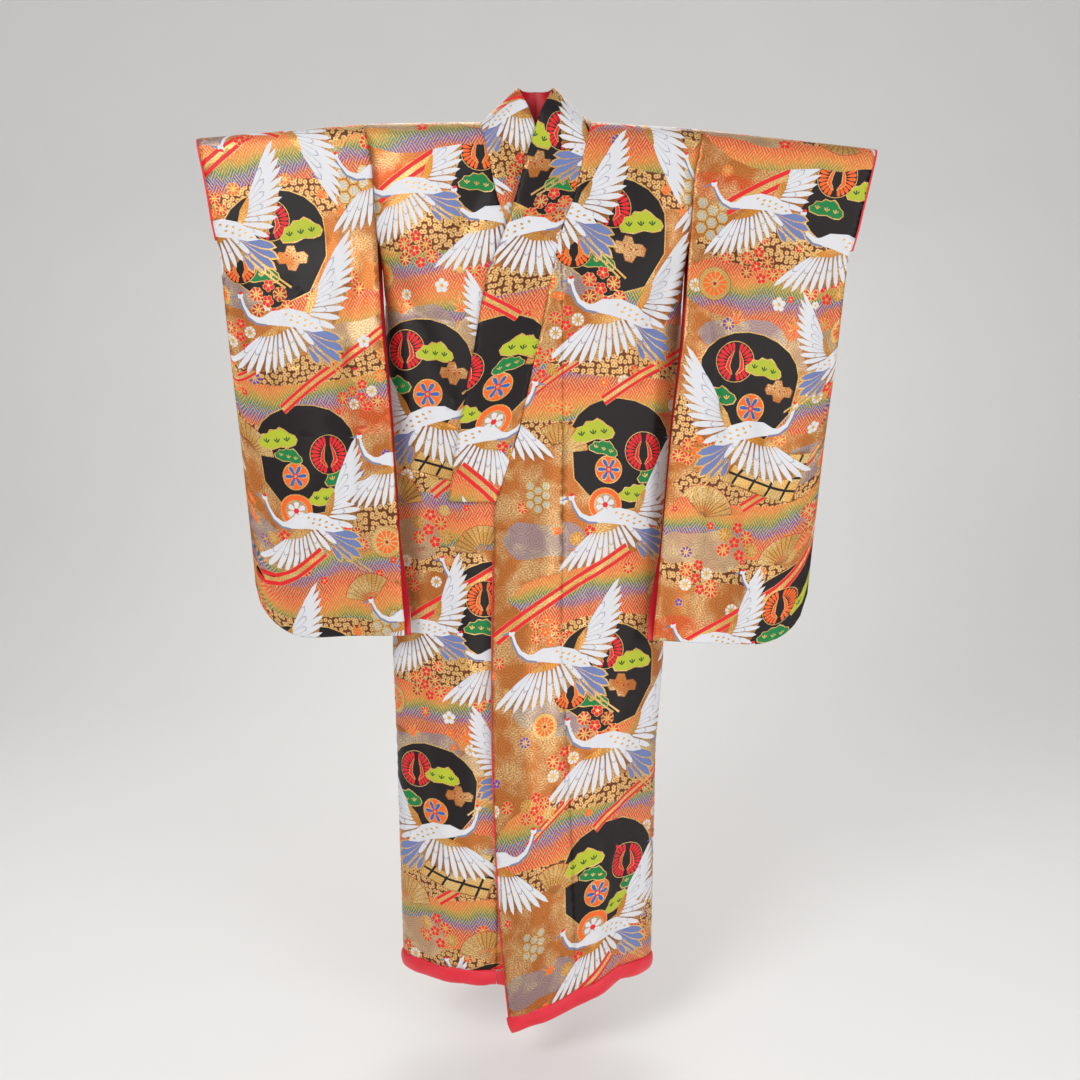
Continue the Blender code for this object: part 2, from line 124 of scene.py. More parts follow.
OKUMI = (
    ("row", "seam", "edge"),
    (ARMHOLE, 0.0512, 0.0472), (0.71, 0.056, -0.056), (COLLAR_END, 0.056, -0.084),
    (0.92, 0.055, -0.088), (1.08, 0.054, -0.092), (1.30, 0.067, -0.093), (1.42, 0.074, -0.089),
    (1.63, 0.082, -0.078), (1.75, 0.086, -0.0655), (1.84, 0.088, -0.056),
)
SLEEVE_EDGE = (
    ("drop", "inner_left", "outer_left", "inner_right", "outer_right", "forward"),
    (0.00, 0.343, 0.684, 0.337, 0.689, 0.000), (0.09, 0.329, 0.668, 0.319, 0.671, 0.000),
    (0.22, 0.323, 0.653, 0.313, 0.645, 0.000), (0.28, 0.3195, 0.650, 0.3090, 0.640, 0.018),
    (0.35, 0.3150, 0.646, 0.3040, 0.635, 0.034), (0.42, 0.310, 0.642, 0.299, 0.630, 0.046),
    (0.59, 0.297, 0.629, 0.280, 0.613, 0.056), (0.83, 0.285, 0.614, 0.262, 0.596, 0.067),
    (1.06, 0.2735, 0.603, 0.244, 0.582, 0.085),
)
SHOULDER_Z = {-1: (0.0, -0.002, -0.029), 1: (0.0, -0.013, -0.050)}
SIDE = {-1: "left", 1: "right"}


def column_of(table, key, value, name):
    names = table[0]
    rows = np.array(table[1:], float)
    return np.interp(value, rows[:, names.index(key)], rows[:, names.index(name)])


def smooth(low, high, value):
    t = np.clip((np.asarray(value, float) - low) / (high - low), 0, 1)
    return t * t * (3 - 2 * t)


def unit(vectors):
    return vectors / np.maximum(np.linalg.norm(vectors, axis=-1, keepdims=True), 1e-12)


def fold(row):
    row = np.asarray(row, float)
    angle = np.clip(row / FOLD_LENGTH, 0, 1) * math.pi / 2
    return FOLD_RADIUS * (1 - np.cos(angle)) + np.maximum(row - FOLD_LENGTH, 0), np.sin(angle)


def body_side(side, drop):
    return side * column_of(BODY_SIDE, "drop", drop, SIDE[side])


def body_depth(x, drop, leaf):
    left = body_side(-1, drop)
    right = body_side(1, drop)
    share = np.clip(np.abs((x - (left + right) / 2) / ((right - left) / 2)), 0, 1)
    bulge = column_of(BODY_DEPTH, "drop", drop, leaf)
    edge = column_of(BODY_DEPTH, "drop", drop, "edge")
    return edge + (bulge - edge) * (1 - share**2) ** 0.55


def folds(x, drop):
    hang = smooth(0.35, 1.0, drop)
    return 0.0035 * hang * np.sin(38 * x + 1.1 * drop) + 0.002 * hang * np.sin(71 * x - 0.9 * drop)


def body_point(side, x, row, leaf):
    """A point of the body's form: leaf is -1 in front and 1 behind."""
    drop, round_share = fold(row)
    slope = SHOULDER_Z[side][1] * np.clip((np.abs(x) - NECK_HALF) / 0.22, 0, 1)
    inside = smooth(0.0, 0.06, np.abs(body_side(side, drop)) - side * x)
    if leaf > 0:
        depth = (body_depth(x, drop, "back") + folds(x + 0.05, drop) * inside) * round_share
        return np.stack([x, depth, slope - drop], -1)
    depth = (body_depth(x, drop, "front") + folds(x, drop) * inside) * round_share
    below = smooth(0.0, 0.09, drop)
    if side > 0:
        depth = depth + LAP * (1 + 0.8 * smooth(1.3, 1.7, drop)) * (1 - smooth(0.10, 0.20, x)) * below
        tip = TIP_SLOPE * np.maximum(TIP_START - x, 0) * smooth(1.0, HEM_ROW, row)
    else:
        depth = depth - DIP * smooth(-0.09, -0.02, x) * below
        tip = 0 * x
    return np.stack([x, -depth, slope - drop - tip], -1)


def centre_back(row):
    return CENTRE_SHIFT * smooth(0.2, 1.1, row)


def neck_seam(side, angle):
    return side * NECK_HALF * np.sin(angle), NECK_BACK_ROW * np.cos(angle)


def sleeve_length(u):
    across = np.maximum(u * SLEEVE_WIDTH - (SLEEVE_WIDTH - SLEEVE_CORNER), 0)
    rounding = np.sqrt(SLEEVE_CORNER**2 - np.minimum(across, SLEEVE_CORNER) ** 2)
    return SLEEVE_LENGTH - (SLEEVE_CORNER - rounding)


def sleeve_point(side, u, row, leaf, length):
    hand = SIDE[side]
    drop, round_share = fold(row)
    inner = column_of(SLEEVE_EDGE, "drop", drop, "inner_" + hand)
    outer = column_of(SLEEVE_EDGE, "drop", drop, "outer_" + hand)
    if leaf > 0:
        inner = inner - BACK_LEAF_REACH * smooth(0.82, 1.0, drop)
    x = side * (inner + (outer - inner) * u)
    top = SHOULDER_Z[side][1] + (SHOULDER_Z[side][2] - SHOULDER_Z[side][1]) * u
    forward = column_of(SLEEVE_EDGE, "drop", drop, "forward") * (1 - u)
    ripple = SLEEVE_RIPPLE * smooth(0.1, 0.9, drop) * np.sin(9.5 * u + 1.5 * side) * np.sin(math.pi * u)
    sewn = WALL / 2 + HALF_GAP * 1.6
    full = SLEEVE_FULL + (CUFF_FULL - SLEEVE_FULL) * u
    full = full - SLEEVE_FLATTEN * smooth(0.2, 0.8, drop) * (1 - 0.4 * u)
    closed_side = smooth(CUFF_OPENING - 0.07, CUFF_OPENING, drop) * smooth(0.80, 1.0, u)
    closed_foot = 1 - smooth(0, 0.08, length - row)
    half = full + (sewn - full) * np.maximum(closed_side, closed_foot)
    return np.stack([x, leaf * half * round_share - forward + ripple, top - drop], -1)


# Cloth planes: each maps a place in the cloth's own plane to the form ---------------------------


class Plane:
    """A lattice of the form over the cloth plane. length runs along the cloth, across over its width."""

    def __init__(self, lengths, starts, ends, points, facing, creases=()):
        self.lengths, self.starts, self.ends = lengths, starts, ends
        share = np.linspace(0, 1, points.shape[1])
        across = starts[:, None] + (ends - starts)[:, None] * share
        lift = crease_lift(creases, across, lengths[:, None] + 0 * across)
        self.points = points + self.facing_out(points, facing) * lift[..., None]
        self.normals = self.facing_out(self.points, facing)

    @staticmethod
    def facing_out(points, facing):
        normals = unit(np.cross(np.gradient(points, axis=0), np.gradient(points, axis=1)))
        return normals * np.sign(normals[..., 1].sum() * facing)

    def across_of(self, x, length):
        """Where a place of the form, given by its x, lies across the cloth."""
        k = int(np.argmin(np.abs(self.lengths - length)))
        xs = self.points[k, :, 0]
        order = np.argsort(xs)
        share = np.interp(x, xs[order], np.linspace(0, 1, len(xs))[order])
        return float(self.starts[k] + (self.ends[k] - self.starts[k]) * share)

    def at(self, across, length):
        k = np.interp(length, self.lengths, np.arange(len(self.lengths)))
        start = np.interp(length, self.lengths, self.starts)
        end = np.interp(length, self.lengths, self.ends)
        c = np.clip((across - start) / (end - start), 0, 1) * (self.points.shape[1] - 1)
        i = np.minimum(k.astype(int), len(self.lengths) - 2)
        j = np.minimum(c.astype(int), self.points.shape[1] - 2)
        down, over = (k - i)[:, None], (c - j)[:, None]

        def blend(values):
            top = values[i, j] * (1 - over) + values[i, j + 1] * over
            low = values[i + 1, j] * (1 - over) + values[i + 1, j + 1] * over
            return top * (1 - down) + low * down

        return blend(self.points), unit(blend(self.normals))

    def at_flat(self, flat):
        return self.at(flat[:, 0], flat[:, 1])


def crease_lift(creases, across, length):
    """Soft troughs (depth under 0) and ridges: each a line in the cloth plane with a width and a depth."""
    lift = np.zeros_like(across)
    for x0, y0, x1, y1, width, depth in creases:
        run = math.hypot(x1 - x0, y1 - y0)
        t = ((across - x0) * (x1 - x0) + (length - y0) * (y1 - y0)) / run**2
        off = ((across - x0) * (y1 - y0) - (length - y0) * (x1 - x0)) / run
        bend = off + 0.006 * np.sin(7 * t + x0 * 40)
        fade = smooth(-0.15, 0.25, t) * (1 - smooth(0.75, 1.15, t))
        lift += CREASE_DEEPEN * depth * np.exp(-((bend / width) ** 2)) * fade
    return lift


def equal_arcs(rows, count):
    """Resamples each row of points at equal distances, and gives each row's width."""
    out, widths = [], []
    for row in rows:
        steps = np.concatenate([[0], np.cumsum(np.linalg.norm(np.diff(row, axis=0), axis=1))])
        even = np.linspace(0, steps[-1], count)
        out.append(np.stack([np.interp(even, steps, row[:, k]) for k in range(3)], -1))
        widths.append(steps[-1])
    return np.array(out), np.array(widths)


def body_plane(side, leaf, creases=()):
    """Front or back of one side, from just past the overlap's free edge to the side seam."""
    rows = np.linspace(0, HEM_ROW + 0.002, 190)
    grid, start = [], []
    for row in rows:
        inner = -0.115 * side if leaf < 0 else float(centre_back(row))
        outer = float(body_side(side, fold(row)[0]))
        share = 1 - (1 - np.linspace(0, 1, 120)) ** 1.6
        grid.append(body_point(side, inner + (outer - inner) * share, np.full(120, row), leaf))
        start.append(side * inner if leaf < 0 else 0.0)
    points, widths = equal_arcs(grid, 64)
    start = np.array(start)
    if leaf > 0:
        return Plane(-rows[::-1], start[::-1], (start + widths)[::-1], points[::-1], 1, creases)
    return Plane(rows, start, start + widths, points, -1, creases)


def sleeve_plane(side, leaf, creases=()):
    rows = np.linspace(0, 1, 150)
    u = np.linspace(0, 1, 48)
    length = sleeve_length(u)
    grid = []
    for row in rows * SLEEVE_LENGTH:
        shortened = ARMHOLE + (row - ARMHOLE) * (length - ARMHOLE) / (SLEEVE_LENGTH - ARMHOLE)
        run = np.where(row <= ARMHOLE, row, shortened)
        grid.append(sleeve_point(side, u, run, leaf, length))
    grid = np.array(grid)
    lengths = rows * SLEEVE_LENGTH
    start, end = np.full(150, 0.34), np.full(150, 0.68)
    if leaf > 0:
        return Plane(-lengths[::-1], start, end, grid[::-1], 1, creases)
    return Plane(lengths, start, end, grid, -1, creases)


def collar_plane(side):
    """The collar band: across runs from its seam to its free edge, length from the centre back down."""
    angles = np.linspace(0, math.pi / 2, NECK_ROWS)
    seam = [body_point(side, *map(np.array, neck_seam(side, a)), 1) for a in angles]
    rows = np.array(FRONT_ROWS)
    for row in rows[1:]:
        x = side * column_of(COLLAR_SEAM, "row", row, "x")
        seam.append(body_point(side, np.array(x), np.array(row), -1))
    turn = np.linspace(0, math.pi / 2, NECK_ROWS)
    top = np.stack([side * 0.036 * np.sin(turn), 0.044 * np.cos(turn) - 0.010 * (1 - np.cos(turn)),
                    0.074 - 0.004 * np.sin(turn)], -1)
    lean = (0.0, -0.010, -0.020, -0.030)
    columns = np.linspace(0, 1, 17)
    grid = [seam[i] + (top[i] - seam[i]) * columns[:, None] for i in range(NECK_ROWS)]
    for k in range(1, len(rows)):
        start = seam[NECK_ROWS - 1 + k]
        end = np.array([side * column_of(COLLAR_EDGE, "row", rows[k], "x"), 0.0,
                        column_of(COLLAR_EDGE, "row", rows[k], "z")])
        strip = start + (end - start) * columns[:, None]
        flat_row = np.maximum(FOLD_LENGTH, -strip[:, 2] - FOLD_RADIUS + FOLD_LENGTH)
        on_form = body_point(side, strip[:, 0], flat_row, -1)[:, 1]
        free_y = start[1] + (top[-1][1] + lean[min(k, 3)] - start[1]) * columns
        free_y = free_y - (0.7 * LAP * smooth(0.0, 0.055, rows[k]) * columns if side > 0 else 0)
        strip[:, 1] = free_y + (on_form - free_y) * smooth(0.02, 0.13, rows[k])
        grid.append(strip)
    grid = np.array(grid)
    steps = np.concatenate([[0], np.cumsum(np.linalg.norm(np.diff(grid[:, 8], axis=0), axis=1))])
    even = np.linspace(0, steps[-1], 150)
    fine = np.stack([[np.interp(even, steps, grid[:, j, k]) for k in range(3)] for j in range(17)], 0)
    fine = np.moveaxis(fine, (0, 1, 2), (1, 2, 0))
    kernel = np.exp(-(np.linspace(-2, 2, 9) ** 2))
    kernel /= kernel.sum()
    padded = np.concatenate([fine[:1].repeat(4, 0), fine, fine[-1:].repeat(4, 0)])
    eased = sum(w * padded[i:i + len(fine)] for i, w in enumerate(kernel))
    eased[:5], eased[-5:] = fine[:5], fine[-5:]
    return Plane(even, np.zeros(150), np.full(150, COLLAR_WIDTH), eased, -1)


# Yarns ----------------------------------------------------------------------------------------

SATIN, GOLD, FRET, FLORET = range(4)
YARNS = {
    "ground": (GOLD, "#C8702A"), "ground_pale": (GOLD, "#D9A050"), "gold": (GOLD, "#D88A2C"),
    "gold_line": (GOLD, "#E7B260"), "bronze": (GOLD, "#A8662A"), "tan": (GOLD, "#C79C7A"),
    "lilac": (GOLD, "#A88A8C"), "orange_ground": (GOLD, "#DE5A1E"), "floret": (FLORET, "#D08A3C"),
    # the second grey yarn on the next line is painted shade: it rims the white coverts of the crane's wings
    "fret": (FRET, "#D08A3C"), "white": (SATIN, "#DCDCE0"), "white_shade": (SATIN, "#A9A8B6"),
    "grey": (SATIN, "#7A809C"), "blue_grey": (SATIN, "#6D7CB0"), "red": (SATIN, "#E21F26"),
    "deep_red": (SATIN, "#B3171D"), "orange": (SATIN, "#F2651F"), "lime": (SATIN, "#B4BE2C"),
    "green": (SATIN, "#0C7D3C"), "dark_green": (SATIN, "#0B4A26"), "black": (SATIN, "#120608"),
    "purple": (SATIN, "#6B3FA0"), "blue": (SATIN, "#2F5FB0"), "teal": (SATIN, "#1F8F85"),
    "silver": (GOLD, "#C9C4B8"), "brown": (SATIN, "#6E3A1C"),
}
YARN_NAMES = list(YARNS)


class Cloth:
    """One width of cloth: polygons in its plane, in the order they are woven over each other."""

    def __init__(self, shift=0.0):
        self.shift = shift
        self.shapes = []

    def pen(self, x, q, turn=0.0, size=1.0, mirrored=False):
        return Pen(self, x + self.shift, q, turn, size, mirrored)


class Pen:
    """Draws a motif in its own upright metres: on the front the cloth's length runs down, so up is less."""

    def __init__(self, cloth, x, q, turn, size, mirrored):
        self.cloth, self.x, self.q = cloth, x, q
        self.up = -1 if q >= 0 else 1
        self.size, self.hand = size, -1 if mirrored else 1
        self.cos, self.sin = math.cos(math.radians(turn)), math.sin(math.radians(turn))

    def place(self, u, v):
        u, v = u * self.hand * self.size, v * self.size
        return self.x + u * self.cos - v * self.sin, self.q + self.up * (u * self.sin + v * self.cos)

    def fill(self, outline, yarn):
        self.cloth.shapes.append(([self.place(u, v) for u, v in outline], yarn))

    def ellipse(self, u, v, wide, tall, yarn, turn=0.0, sides=14):
        c, s = math.cos(math.radians(turn)), math.sin(math.radians(turn))
        ring = [(wide * math.cos(a), tall * math.sin(a)) for a in turns(sides)]
        self.fill([(u + a * c - b * s, v + a * s + b * c) for a, b in ring], yarn)

    def stroke(self, line, widths, yarn):
        """A line that swells and tapers."""
        line = np.array(line, float)
        way = unit(np.gradient(line, axis=0))
        half = np.interp(np.linspace(0, 1, len(line)), np.linspace(0, 1, len(widths)), widths)[:, None] / 2
        off = np.stack([-way[:, 1], way[:, 0]], -1) * half
        self.fill([tuple(p) for p in np.concatenate([line + off, (line - off)[::-1]])], yarn)

    def feather(self, u, v, angle, length, wide, yarn, blunt=0.55):
        """A long leaf shape: it is widest towards its tip, as a quill feather is."""
        a = math.radians(angle)
        spine = ((0, 0.12), (0.30, 0.62), (0.62, 0.95), (0.86, blunt + 0.2))
        edge = [(t * length, w * wide / 2) for t, w in spine]
        outline = edge + [(length, 0)] + [(t, -w) for t, w in edge[::-1]]
        c, s = math.cos(a), math.sin(a)
        self.fill([(u + t * c - w * s, v + t * s + w * c) for t, w in outline], yarn)


def turns(count, start=0.0, sweep=2 * math.pi):
    return [start + sweep * k / count for k in range(count)]


def lobed(radius, lobes, depth, steps=4, squash=1.0):
    """A closed outline with round lobes."""
    count = lobes * steps
    ring = [(a, radius * (1 - depth + depth * abs(math.cos(lobes * a / 2)))) for a in turns(count)]
    return [(r * math.cos(a), r * math.sin(a) * squash) for a, r in ring]


# Woven motifs ---------------------------------------------------------------------------------


def wing(pen, root, wrist, fan, longest, shortest, wide):
    """Long quills that fan from a bent arm, over a gold ground that shows between them, then coverts rimmed
    in grey painted shade.
    """
    count = len(fan)
    share = np.linspace(0, 1, count)
    starts = [np.array(wrist) + (np.array(root) - np.array(wrist)) * t**1.1 for t in share]
    reach = [longest + (shortest - longest) * t for t in share]
    ends = [(p[0] + r * math.cos(math.radians(a)), p[1] + r * math.sin(math.radians(a)))
            for p, r, a in zip(starts, reach, fan)]
    inner = [(p[0] + (e[0] - p[0]) * 0.9, p[1] + (e[1] - p[1]) * 0.9) for p, e in zip(starts, ends)]
    pen.fill([tuple(wrist), *inner, tuple(root)], "bronze")
    for p, r, a in zip(starts, reach, fan):
        pen.feather(p[0], p[1], a, r, wide, "white")
    # each covert lies over a larger grey copy, whose rim is painted shade between the overlapping feathers
    for p, r, a in list(zip(starts, reach, fan))[::2]:
        pen.feather(p[0], p[1], a, r * 0.52, wide * 0.9, "white_shade", 0.8)
        pen.feather(p[0], p[1], a, r * 0.49, wide * 0.72, "white", 0.8)
    middle = [(np.array(root) * (1 - t) + np.array(wrist) * t) for t in (0.1, 0.5, 0.95)]
    pen.stroke(middle, (0.010, 0.015, 0.004), "gold")


def crane(pen, cap="red"):
    """A flying crane with its head to the left."""
    for angle, length in zip((-72, -58, -45, -32, -19), (0.066, 0.080, 0.088, 0.082, 0.070)):
        pen.feather(0.030, -0.016, angle, length, 0.019, "gold_line")
        pen.feather(0.030, -0.016, angle, length * 0.94, 0.0145, "blue_grey")
    for shift in (0.0, 0.011):
        pen.stroke([(0.035 + shift, -0.045), (0.078 + shift, -0.088), (0.104 + shift, -0.110)],
                   (0.0028, 0.0028, 0.004), "gold_line")
    wing(pen, (0.012, -0.004), (-0.050, -0.022), (222, 230, 238, 246, 254, 262, 270, 279, 288, 298, 310),
         0.090, 0.052, 0.0100)
    wing(pen, (0.034, 0.004), (0.060, 0.052), (55, 49, 43, 37, 30, 23, 15, 7, -2, -12, -24),
         0.108, 0.056, 0.0108)
    body = [(-0.046, 0.008), (-0.026, 0.019), (0.006, 0.021), (0.034, 0.012), (0.056, -0.006),
            (0.064, -0.022), (0.044, -0.022), (0.016, -0.012), (-0.014, -0.006), (-0.038, -0.003)]
    pen.fill(body, "white")
    flecks = ((0.000, 0.012), (0.012, 0.008), (0.023, 0.005), (0.034, -0.001), (0.044, -0.008),
              (0.008, 0.001), (0.020, -0.004), (0.032, -0.010), (0.052, -0.016))
    for k, (u, v) in enumerate(flecks):
        pen.ellipse(u, v, 0.0034, 0.0020, "gold_line", 30 - 6 * k, 6)
    neck = [(-0.034, 0.004), (-0.052, 0.005), (-0.066, 0.014), (-0.074, 0.029), (-0.078, 0.043)]
    pen.stroke([(u - 0.002, v - 0.003) for u, v in neck], (0.013, 0.010, 0.008, 0.007, 0.006), "grey")
    pen.stroke(neck, (0.013, 0.009, 0.007, 0.005, 0.005), "white")
    pen.ellipse(-0.080, 0.047, 0.0062, 0.0050, "white", 20, 9)
    pen.fill([(-0.085, 0.049), (-0.102, 0.043), (-0.085, 0.044)], "grey")
    pen.ellipse(-0.079, 0.0515, 0.0048, 0.0026, cap, 15, 7)


def roundel(pen, yarn="red"):
    """A round crest of two crane wings that meet at top and bottom."""
    pen.ellipse(0, 0, 0.0415, 0.0415, "gold_line", sides=26)
    pen.ellipse(0, 0, 0.0400, 0.0400, "black", sides=26)
    for hand in (1, -1):
        for k in range(11):
            a = math.radians(-74 + 14.8 * k)
            u, v = 0.019 * math.cos(a) * hand, 0.019 * math.sin(a)
            angle = math.degrees(math.atan2(math.sin(a), math.cos(a) * hand))
            pen.feather(u, v, angle, 0.0205, 0.0074, yarn, 0.7)
        tail = [(hand * 0.004, -0.026), (hand * 0.015, -0.012), (hand * 0.013, 0.004), (hand * 0.006, 0.022)]
        pen.stroke(tail, (0.003, 0.0105, 0.008, 0.002), "gold_line")
        pen.stroke(tail, (0.001, 0.0075, 0.005, 0.001), yarn)


def flower(pen, yarn="red", petals=8, radius=0.0130, heart="gold_line"):
    """A chrysanthemum: drop-shaped petals with gold between them."""
    pen.fill(lobed(radius * 1.06, petals, 0.10, 2), "gold_line")
    for a in turns(petals, 0.2):
        pen.fill([(radius * r * math.cos(a + w), radius * r * math.sin(a + w))
                  for r, w in ((0.30, 0.0), (0.86, -0.30), (0.99, 0.0), (0.86, 0.30))], yarn)
    pen.ellipse(0, 0, radius * 0.26, radius * 0.26, heart, sides=7)


def plum(pen, yarn="red", radius=0.0115):
    """Five round petals, ringed in gold."""
    for a in turns(5, math.pi / 2):
        u, v = radius * 0.58 * math.cos(a), radius * 0.58 * math.sin(a)
        pen.ellipse(u, v, radius * 0.48, radius * 0.48, "gold_line", sides=6)
        pen.ellipse(u, v, radius * 0.40, radius * 0.40, yarn, sides=7)
    pen.ellipse(0, 0, radius * 0.28, radius * 0.28, "gold_line", sides=7)


def pine(pen, yarn="lime", marks="dark_green"):
    """A cushion of pine needles: a scalloped top on a flat, gold-edged foot."""
    top = [(-0.036, -0.010), (-0.040, -0.001), (-0.032, 0.006), (-0.028, 0.014), (-0.017, 0.015),
           (-0.010, 0.022), (0.002, 0.021), (0.010, 0.025), (0.020, 0.019), (0.027, 0.012),
           (0.036, 0.007), (0.040, -0.002),
           (0.034, -0.010), (0.020, -0.012), (0.004, -0.009), (-0.014, -0.013)]
    pen.fill([(u * 1.06, v * 1.14 - 0.0006) for u, v in top], "gold_line")
    pen.fill(top, yarn)
    for u in (-0.022, 0.0, 0.021):
        for angle in (50, 90, 130):
            pen.feather(u, -0.002, angle, 0.010, 0.0030, marks)


def tan_cloud(pen):
    cloud = [(-0.034, 0.002), (-0.029, 0.016), (-0.016, 0.014), (-0.010, 0.027), (0.004, 0.026),
             (0.009, 0.012), (0.024, 0.013), (0.033, 0.004), (0.029, -0.011), (0.014, -0.010),
             (0.005, -0.024), (-0.010, -0.021),
             (-0.014, -0.008), (-0.028, -0.008)]
    pen.fill([(u * 1.07, v * 1.07) for u, v in cloud], "brown")
    pen.fill(cloud, "ground")
    for u, v in ((-0.012, 0.008), (0.002, 0.001), (0.013, 0.002)):
        pen.ellipse(u, v, 0.0026, 0.0022, "deep_red", sides=6)


def ball(pen, yarn="orange"):
    """A thread-wound ball with a flower on it."""
    pen.ellipse(0, 0, 0.031, 0.031, "gold_line", sides=22)
    pen.ellipse(0, 0, 0.0285, 0.0285, yarn, sides=22)
    for a in turns(6):
        pen.feather(0, 0, math.degrees(a), 0.0275, 0.0125, "gold_line", 0.7)
        pen.feather(0, 0, math.degrees(a), 0.0250, 0.0080, "blue" if yarn == "orange" else "white", 0.7)
    pen.ellipse(0, 0, 0.0070, 0.0070, "red", sides=9)
    pen.ellipse(0, 0, 0.0035, 0.0035, "gold_line", sides=7)


def flower_ring(pen, yarn="orange"):
    pen.ellipse(0, 0, 0.036, 0.036, "gold_line", sides=24)
    pen.ellipse(0, 0, 0.034, 0.034, yarn, sides=24)
    pen.ellipse(0, 0, 0.024, 0.024, "gold_line", sides=20)
    pen.ellipse(0, 0, 0.0225, 0.0225, "tan", sides=20)
    for a in turns(6, 0.4):
        pen.feather(0.003 * math.cos(a), 0.003 * math.sin(a), math.degrees(a), 0.017, 0.011, "white", 0.8)
    pen.ellipse(0, 0, 0.006, 0.006, "red", sides=8)


def maple(pen, yarn="orange"):
    points = []
    for k, reach in enumerate((1.0, 0.92, 0.66, 0.66, 0.92)):
        a = math.pi / 2 + (0, 0.86, 1.75, -1.75, -0.86)[k]
        points.append((a, reach))
    points.sort()
    outline = []
    for k, (a, reach) in enumerate(points):
        gap = (points[(k + 1) % 5][0] - a) % (2 * math.pi)
        outline += [(a - 0.16, reach * 0.62), (a, reach), (a + 0.16, reach * 0.62), (a + gap / 2, 0.30)]
    for grow, name in ((0.0205, "gold_line"), (0.0182, yarn)):
        pen.fill([(grow * r * math.cos(a), grow * r * math.sin(a)) for a, r in outline], name)
    for a, reach in points:
        pen.feather(0, 0, math.degrees(a), 0.0165 * reach, 0.0016, "gold_line")


def hexagons(pen):
    """A patch of tortoiseshell hexagons in silver and gold."""
    for column in range(-1, 2):
        for row in range(-1, 2):
            u, v = 0.0235 * column, 0.0270 * (row + 0.5 * (column % 2))
            for grow, yarn in ((0.0155, "bronze"), (0.0135, "gold_line"), (0.0100, "silver")):
                pen.fill([(u + grow * math.cos(a), v + grow * math.sin(a)) for a in turns(6)], yarn)


def folding_fan(pen, yarn="ground_pale"):
    arc = [math.radians(a) for a in range(30, 151, 12)]
    outer = [(0.056 * math.cos(a), 0.056 * math.sin(a) - 0.02) for a in arc]
    inner = [(0.021 * math.cos(a), 0.021 * math.sin(a) - 0.02) for a in arc[::-1]]
    pen.fill([(u * 1.03, v * 1.03) for u, v in outer] + inner, "deep_red")
    pen.fill(outer + inner, yarn)
    for a in arc:
        pen.stroke([(0.004 * math.cos(a), 0.004 * math.sin(a) - 0.02),
                    (0.055 * math.cos(a), 0.055 * math.sin(a) - 0.02)], (0.0016, 0.0022), "bronze")


def wheel(pen):
    """A court-carriage wheel."""
    pen.ellipse(0, 0, 0.034, 0.034, "bronze", sides=26)
    pen.ellipse(0, 0, 0.0325, 0.0325, "gold_line", sides=26)
    pen.ellipse(0, 0, 0.024, 0.024, "orange", sides=22)
    for a in turns(12):
        pen.stroke([(0.004 * math.cos(a), 0.004 * math.sin(a)), (0.026 * math.cos(a), 0.026 * math.sin(a))],
                   (0.002, 0.0036), "gold_line")
    pen.ellipse(0, 0, 0.008, 0.008, "gold_line", sides=12)
    pen.ellipse(0, 0, 0.004, 0.004, "deep_red", sides=8)


def black_field(pen, deep=1.0):
    """A dark ground with a round shoulder and a cut foot, for the pines and crests to stand on."""
    shoulder = [(0.094 * math.cos(a), 0.072 * math.sin(a) + 0.024) for a in turns(11, -0.15, 3.45)]
    foot = [(-0.078, -0.052 * deep), (-0.020, -0.104 * deep), (0.052, -0.086 * deep), (0.090, -0.030)]
    pen.fill([(u * 1.02, v * 1.02) for u, v in shoulder + foot], "gold_line")
    pen.fill(shoulder + foot, "black")


def lattice(pen):
    """Crossed brown and gold slats on black."""
    frame_line = [(-0.075, -0.022), (-0.030, 0.044), (0.075, 0.030), (0.052, -0.046)]
    pen.fill([(u * 1.04, v * 1.06) for u, v in frame_line], "bronze")
    pen.fill(frame_line, "gold_line")
    for k in range(4):
        t = 0.14 + 0.24 * k
        a = np.array(frame_line[0]) * (1 - t) + np.array(frame_line[3]) * t
        b = np.array(frame_line[1]) * (1 - t) + np.array(frame_line[2]) * t
        pen.stroke([a, b], (0.0042, 0.0042), "black")
    for k in range(3):
        t = 0.22 + 0.28 * k
        a = np.array(frame_line[0]) * (1 - t) + np.array(frame_line[1]) * t
        b = np.array(frame_line[3]) * (1 - t) + np.array(frame_line[2]) * t
        pen.stroke([a, b], (0.0042, 0.0042), "black")


def ribbon(pen, run=0.30):
    """A slanting double red band with gold between."""
    line = np.array([(-run / 2 + run * t, 0.004 * math.sin(5 * t)) for t in np.linspace(0, 1, 9)])
    pen.stroke(line, (0.0235, 0.0235), "gold_line")
    for off in (0.0075, -0.0075):
        pen.stroke(line + [0, off], (0.0070, 0.0070), "red")


def mist(pen, wide, tall, yarn, seed=0):
    """A drifting bank with stepped, rounded ends and a softly waved edge."""
    rng = random.Random(seed)
    top, low = [], []
    for k in range(13):
        t = -1 + k / 6
        reach = (1 - abs(t) ** 5) * (1 + 0.16 * math.sin(3.1 * t + seed) + rng.uniform(-0.06, 0.06))
        top.append((wide * t / 2, tall * reach / 2))
        low.append((wide * t / 2, -tall * reach * (0.95 + 0.1 * math.sin(4 * t + 2 * seed)) / 2))
    pen.fill(top + low[::-1], yarn)


def posy(pen, yarns, seed):
    """A close cluster of blossoms."""
    rng = random.Random(seed)
    spots = ((0, 0), (0.024, 0.011), (-0.021, 0.014), (0.012, -0.023), (-0.020, -0.015), (0.036, -0.013),
             (0.004, 0.028))
    for k, (u, v) in enumerate(spots):
        x, q = pen.place(u, v)
        spot = Pen(pen.cloth, x, q, rng.uniform(0, 70), pen.size, False)
        spot.up = pen.up
        (flower if k % 3 else plum)(spot, yarns[k % len(yarns)])


